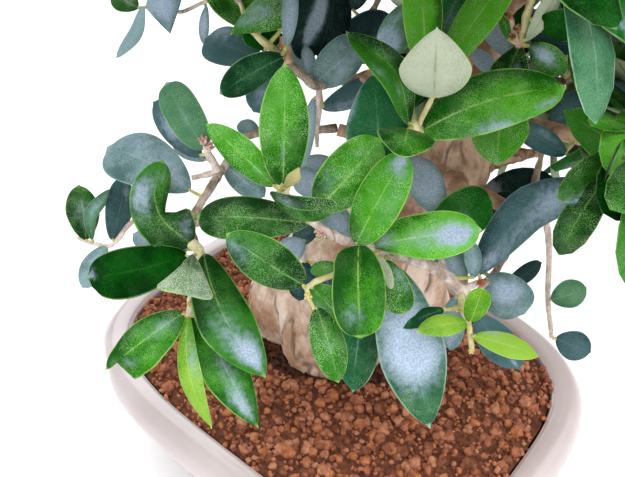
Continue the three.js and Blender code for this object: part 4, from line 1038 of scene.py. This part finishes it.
RIDGES = {"round": 2.2, "up": 34.0, "coarse": 1.7, "finer": 4.1, "high": 0.9, "at_foot": 1.6}
BARK_GRAIN = {"round": 7.0, "up": 7.0, "high": 0.45}
COLLAR = {"swell": 0.35, "reach": 0.22}
STUB_SWELL = 1.05


def furrow_share(bearing):
    """How deep the furrows between the roots cut in at a bearing."""
    depth = 0
    for at, half, share in FURROWS:
        off = (math.degrees(bearing) - at + 540) % 360 - 180
        depth += share * math.exp(-(off / half) ** 2)
    return depth


def make_trunk():
    """The trunk's sections, smoothed and given the bark's ridges and hollows."""
    pile = Pile()
    sides = 72
    steps = 7
    sections = smooth_path(TRUNK, steps)
    places = []
    for k, (up, across, back, wide, deep) in enumerate(sections):
        low, high = sections[max(k - steps, 0)], sections[min(k + steps, len(sections) - 1)]
        lean = Vector((high[1] - low[1], high[2] - low[2], high[0] - low[0])).normalized()
        level = max(0.0, 1 - k / steps / LEVEL_SECTIONS)
        tilt = Vector((0, 0, 1)).rotation_difference(lean).slerp(Matrix.Identity(3).to_quaternion(), level)
        fade = max(0.0, 1 - max(0.0, up) / ROOTS_FADE)
        for s in range(sides):
            bearing = 2 * math.pi * s / sides
            share = 1 - fade * furrow_share(bearing)
            cos, sin = math.cos(bearing), math.sin(bearing)
            spot = Vector((RIDGES["round"] * cos, RIDGES["round"] * sin, up / RIDGES["up"]))
            ridges = noise.noise(spot * RIDGES["coarse"]) + 0.5 * noise.noise(spot * RIDGES["finer"])
            fine = noise.noise(Vector((BARK_GRAIN["round"] * cos, BARK_GRAIN["round"] * sin, up / BARK_GRAIN["up"])))
            swell = ridges * (RIDGES["high"] + RIDGES["at_foot"] * fade) + fine * BARK_GRAIN["high"]
            out = Vector((cos * (wide * share + swell), sin * (deep * share + swell), 0))
            places.append(np.array(tilt @ out) + [across, back, up])
    middle_low = [sections[0][1], sections[0][2], sections[0][0]]
    middle_high = [sections[-1][1], sections[-1][2], sections[-1][0]]
    faces = ring_faces(len(sections), sides)
    pile.add(np.vstack([places, middle_low, middle_high]), faces, [0] * len(faces))
    return pile.piece("trunk_bark", [BARK])


def make_boughs():
    """The boughs with a swollen collar where each leaves the trunk."""
    pile = Pile()
    for foot, tip, radii, bow in BOUGHS.values():
        path = smooth_path(bough_points(foot, tip, bow), 10)
        taper = np.linspace(radii[0], radii[1], len(path))
        collar = 1 + COLLAR["swell"] * np.exp(-(np.linspace(0, 1, len(path)) / COLLAR["reach"]) ** 2)
        tube(pile, path, taper * collar, 16, 0, 0.22)
    return pile.piece("bough_bark", [BOUGH_BARK])


def make_stub():
    pile = Pile()
    foot, tip = np.array(CUT_STUB["foot"], float), np.array(CUT_STUB["tip"], float)
    path = smooth_path([foot, lerp(foot, tip, 0.5), tip], 8)
    tube(pile, path, np.linspace(*CUT_STUB["radii"], len(path)) * STUB_SWELL, 16, 0, 0.4)
    return pile.piece("stub_bark", [BOUGH_BARK])


# Buds
BUD_MATERIALS = [plain_finish(name, dark, light, 500, 0.6) for name, dark, light in (
    ("pink_bud", (176, 132, 120), (236, 206, 194)), ("red_bud", (150, 62, 48), (206, 120, 96)),
    ("yellow_bud", (186, 168, 96), (226, 214, 150)), ("brown_bud", (120, 72, 48), (196, 150, 108)))]
PINK, RED, YELLOW, BROWN = range(4)
BUDS = [("near", (317, 234), 3.4, PINK), ("near", (318, 243), 3.0, PINK), ("near", (450, 286), 2.6, PINK),
        ("near_fork", (481, 283), 3.6, RED), ("young", (458, 309), 3.4, YELLOW), ("left_spur", (203, 141), 4.8, PINK),
        ("left_spur", (213, 145), 4.2, PINK), ("near_drop", (308, 297), 3.4, YELLOW), ("near", (423, 258), 2.4, PINK),
        ("near", (284, 186), 3.0, YELLOW), ("left_end", (190, 304), 2.8, YELLOW),
        ("corner_spur", (508, 15), 3.4, BROWN), ("corner_spur", (519, 28), 3.0, BROWN),
        ("corner_spur", (509, 38), 3.0, BROWN), ("left_end", (198, 250), 3.2, YELLOW),
        ("young", (471, 352), 2.6, YELLOW)]
BUD_CORE = (0.2, 0.3, 0.34, 0.34, 0.28, 0.16, 0.04)
BUD_SCALE = (0.16, 0.2, 0.18, 0.12, 0.03)
BUD_SCALES = 5


def make_buds():
    """Small buds, each a few pointed scales round a short core."""
    pile = Pile()
    for count, (twig, place, size, finish) in enumerate(BUDS):
        path = twig_paths[twig]
        spot = picture_place(path)
        root = path[np.linalg.norm(spot[:, :2] - np.array(place, float), axis=1).argmin()]
        way = unit(seen_at(*place, picture_place(root)[2] - 2) - root + UP * 0.2)
        core = root + way * size * 0.3
        path = smooth_path([root, core, core + way * size * 0.7], 3)
        tube(pile, path, [share * size for share in BUD_CORE], 7, finish)
        side = unit(np.cross(way, UP + 0.1))
        for k in range(BUD_SCALES):
            out = turned(side, way, 2 * math.pi * k / BUD_SCALES + count)
            tip = core + way * size * 0.75 + out * size * 0.32
            middle = lerp(core, tip, 0.5) + out * size * 0.16
            tube(pile, smooth_path([core, middle, tip], 2), [share * size for share in BUD_SCALE], 5, finish)
    return pile.piece("buds", BUD_MATERIALS)


# Pot and soil
def glaze_finish():
    look = Look("pot_glaze", 0.32, 0.5, 0.12)
    body = look.cloud(22, 3.0).over(0.3, 0.7).between(srgb(194, 179, 178), srgb(209, 196, 195))
    specks = look.dots(330, 0.16) * look.cloud(60).over(0.45, 0.6) * 0.35
    look.paint(specks.between(body, srgb(176, 156, 148)))
    look.raised(look.cloud(70, 2.0), 0.0006, 0.35)
    return look.material


def oval_ring(grow, height, pinch_share, sides):
    ring = []
    for s in range(sides):
        turn = 2 * math.pi * s / sides
        power = 2 / SQUARENESS
        corner_turn = abs(abs(turn - math.pi) - math.pi / 2)
        from_corner = 90 - math.degrees(corner_turn) - PINCH["at"]
        out = grow - pinch_share * PINCH["deep"] * math.exp(-(from_corner / PINCH["span"]) ** 2)
        along, across = math.cos(turn), math.sin(turn)
        ring.append([(OPEN_LENGTH / 2 + out) * math.copysign(abs(along) ** power, along),
                     (OPEN_WIDTH / 2 + out) * math.copysign(abs(across) ** power, across), height])
    return ring


def pinch_at(grow, height):
    """How much of the pinch the wall has at a height. The lip has none."""
    if grow <= 1 and height >= PINCH["inner_below"]:
        return 0
    return 1 - min(max((height - PINCH["whole_below"]) / (PINCH["none_above"] - PINCH["whole_below"]), 0), 1)


def make_pot():
    """The wall and lip as one smooth skin, from the underside up the outside and down into the opening."""
    pile = Pile()
    sides = 168
    profile = smooth_path(OUTSIDE[4:] + INSIDE, 5)
    profile = np.vstack([OUTSIDE[:1], lerp(np.array(OUTSIDE[0]), np.array(OUTSIDE[1]), 0.5)[None], OUTSIDE[1:4],
                         profile])
    rings = []
    top = max(height for _, height in OUTSIDE)
    for grow, height in profile:
        rings += oval_ring(grow, min(height, top), pinch_at(grow, height), sides)
    count = len(profile)
    faces = ring_faces(count, sides)
    points = np.vstack([rings, [0, 0, 0], [0, 0, INSIDE[-1][1]]])
    pile.add_placed(points, faces, [0] * len(faces))
    return pile.piece("pot_glaze", [glaze_finish()])


def grain_finish(name, dark, light):
    look = Look(name, 0.95, specular=0.2)
    look.paint(look.cloud(320, 4.0).over(0.35, 0.65).between(srgb(*dark), srgb(*light)))
    look.raised(look.cloud(900, 4.0), 0.0007, 0.9)
    return look.material


GRAIN_MATERIALS = [grain_finish("grain_mid", (146, 88, 64), (188, 122, 92)),
                   grain_finish("grain_light", (166, 108, 80), (206, 144, 112)),
                   grain_finish("grain_dark", (118, 70, 50), (154, 98, 74)),
                   grain_finish("grain_orange", (164, 98, 62), (200, 130, 90)),
                   grain_finish("grain_painted_shade", (44, 28, 24), (88, 58, 46))]
ROOT_SHADE = 4
ROOT_REACH = 1.04
WHOLE_TURN = 6.3
GRAIN_SHAPE = {"long": (0.8, 1.25), "wide": (0.8, 1.2), "high": (0.65, 1), "rough": 0.55, "lumps": 1.3,
               "lie": (-1.4, 1.1), "proud": 0.15, "mostly_small": 1.6}


def lump_shape(splits):
    """A ball made from an octahedron whose faces are split this many times."""
    points = [Vector(p) for p in ((1, 0, 0), (-1, 0, 0), (0, 1, 0), (0, -1, 0), (0, 0, 1), (0, 0, -1))]
    faces = [(0, 2, 4), (2, 1, 4), (1, 3, 4), (3, 0, 4), (2, 0, 5), (1, 2, 5), (3, 1, 5), (0, 3, 5)]
    for _ in range(splits):
        middles = {}
        finer = []
        for a, b, c in faces:
            halves = []
            for pair in ((a, b), (b, c), (c, a)):
                key = tuple(sorted(pair))
                if key not in middles:
                    middles[key] = len(points)
                    points.append(((points[pair[0]] + points[pair[1]]) / 2).normalized())
                halves.append(middles[key])
            ab, bc, ca = halves
            finer += [(a, ab, ca), (ab, b, bc), (ca, bc, c), (ab, bc, ca)]
        faces = finer
    return np.array([list(p) for p in points]), faces


def among_roots(x, y):
    """Whether a place of the soil is in a hollow between the roots, where its grains are painted dark as painted
    shade.
    """
    across = x * math.cos(FACING) + y * math.sin(FACING) - TRUNK[0, 1]
    back = y * math.cos(FACING) - x * math.sin(FACING) - TRUNK[0, 2]
    return math.hypot(across / TRUNK[0, 3], back / TRUNK[0, 4]) < ROOT_REACH


def make_grains(name, thrown):
    """Fired clay grains that cover the soil, thrown by a seeded rule."""
    pile = Pile()
    chance = random.Random(thrown["seed"])
    shape = GRAIN_SHAPE
    ball, faces = lump_shape(thrown["splits"])
    spots = []
    half_long, half_wide = OPEN_LENGTH / 2 - thrown["margin"], OPEN_WIDTH / 2 - thrown["margin"]
    while len(spots) < thrown["count"]:
        x, y = lerp(-1, 1, chance.random()) * half_long, lerp(-1, 1, chance.random()) * half_wide
        if (abs(x) / half_long) ** SQUARENESS + (abs(y) / half_wide) ** SQUARENESS < 1:
            spots.append((x, y))
    for x, y in spots:
        size = lerp(*thrown["size"], chance.random() ** shape["mostly_small"])
        turn = Matrix.Rotation(WHOLE_TURN * chance.random(), 3, Vector((chance.random(), chance.random(), 1)))
        stretch = np.array([lerp(*shape[way], chance.random()) for way in ("long", "wide", "high")])
        seed = 50 * chance.random()
        rough = [1 + shape["rough"] * noise.noise(Vector(p) * shape["lumps"] + Vector((seed, seed, 0))) for p in ball]
        lump = (ball * np.array(rough)[:, None] * stretch * size) @ np.array(turn)
        height = SOIL_TOP + lerp(*shape["lie"], chance.random()) + shape["proud"] * size
        finish = chance.choice((0, 0, 0, 1, 1, 2, 2, 3))
        # Grains in the hollows between the roots are painted dark: painted shade
        if among_roots(x, y):
            finish = ROOT_SHADE
        pile.add_placed(lump + [x, y, height], faces, [finish] * len(faces))
    return pile.piece(name, GRAIN_MATERIALS)


def own_and_ride(piece, slot, *nodes):
    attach(piece, "root")
    if nodes:
        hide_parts(*nodes)


foliage_nodes = [name + "_foliage" for name in MASSES]
shown_nodes = foliage_nodes[:5]
own_and_ride(shown_leaves.piece("shown_leaves", LEAF_MATERIALS, LEAF_CREASE), "foliage", *shown_nodes)
low_nodes = [name + "_foliage" for name in LOW_MASSES]
own_and_ride(low_leaves.piece("low_crown_leaves", LEAF_MATERIALS, LEAF_CREASE), "foliage", *low_nodes)
own_and_ride(high_leaves.piece("high_crown_leaves", LEAF_MATERIALS, LEAF_CREASE), "foliage", *foliage_nodes[8:])
own_and_ride(twigs.piece("twigs", TWIG_MATERIALS), "foliage")
own_and_ride(make_buds(), "foliage")
own_and_ride(make_trunk(), "bark", "trunk")
own_and_ride(make_boughs(), "bark", *[name + "_bough" for name in BOUGHS])
own_and_ride(make_stub(), "bark", "cut_stub")
own_and_ride(make_pot(), "glaze", "pot")
own_and_ride(make_grains("soil_grains", GRAINS), "earth")
own_and_ride(make_grains("soil_crumbs", CRUMBS), "earth")
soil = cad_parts["soil"]
soil.data.materials.clear()
soil.data.materials.append(grain_finish("soil_bed", (92, 54, 40), (128, 78, 58)))


# Floor, light and camera
FLOOR_REACH = 6.0
FLOOR_GLOW = 0.1
WORLD_TINT = (0.95, 0.97, 1, 1)
WORLD_POWER = 0.72
LIT_PLACE = np.array([20, 0, 60])
# Soft lights: place, size in metres, power, colour
LIGHTS = {"overhead": ((150, -350, 900), 0.9, 6, (1, 0.98, 0.96)),
          "behind": ((-250, 900, 760), 1.1, 8, (0.92, 0.96, 1)),
          "front": ((-350, -900, 420), 1.0, 2.5, (1, 0.99, 0.98)),
          "side": ((850, -150, 420), 0.9, 2.2, (1, 0.96, 0.92))}


def make_floor():
    mesh = bpy.data.meshes.new("floor")
    corners = ((-1, -1), (1, -1), (1, 1), (-1, 1))
    mesh.from_pydata([(x * FLOOR_REACH, y * FLOOR_REACH, 0) for x, y in corners], [], [(0, 1, 2, 3)])
    floor = bpy.data.objects.new("floor", mesh)
    bpy.context.scene.collection.objects.link(floor)
    look = Look("floor_paper", 0.9, specular=0.1)
    look.paint(look.cloud(3.0).between(srgb(250, 250, 250), srgb(247, 247, 247)))
    look.shader.inputs["Emission Color"].default_value = (1, 1, 1, 1)
    look.shader.inputs["Emission Strength"].default_value = FLOOR_GLOW
    mesh.materials.append(look.material)


def soft_light(name, place, size, power, colour):
    data = bpy.data.lights.new(name, "AREA")
    data.shape = "DISK"
    data.size = size
    data.energy = power
    data.color = colour
    light = bpy.data.objects.new(name, data)
    light.location = Vector((to_row(place) * MM).tolist())
    target = Vector((to_row(LIT_PLACE) * MM).tolist())
    light.rotation_euler = (light.location - target).to_track_quat("Z", "Y").to_euler()
    bpy.context.scene.collection.objects.link(light)


def make_camera():
    data = bpy.data.cameras.new("camera")
    data.sensor_width = SENSOR_MM
    data.lens = FOCAL_PX / PICTURE[0] * SENSOR_MM
    data.clip_start = 0.01
    camera = bpy.data.objects.new("camera", data)
    flat = to_row(np.zeros(3))
    axes = [Vector((to_row(axis) - flat).tolist()) for axis in (RIGHTWARD, UPWARD, BACKWARD)]
    turn = Matrix(axes).transposed()
    camera.matrix_world = Matrix.Translation(Vector((to_row(EYE) * MM).tolist())) @ turn.to_4x4()
    bpy.context.scene.collection.objects.link(camera)
    bpy.context.scene.camera = camera


make_floor()
for name, (place, size, power, colour) in LIGHTS.items():
    soft_light(name, place, size, power, colour)
make_camera()
world = bpy.data.worlds.new("studio")
world.use_nodes = True
world.node_tree.nodes["Background"].inputs["Color"].default_value = WORLD_TINT
world.node_tree.nodes["Background"].inputs["Strength"].default_value = WORLD_POWER
scene = bpy.context.scene
scene.world = world
scene.view_settings.view_transform = "Standard"
scene.view_settings.look = "None"
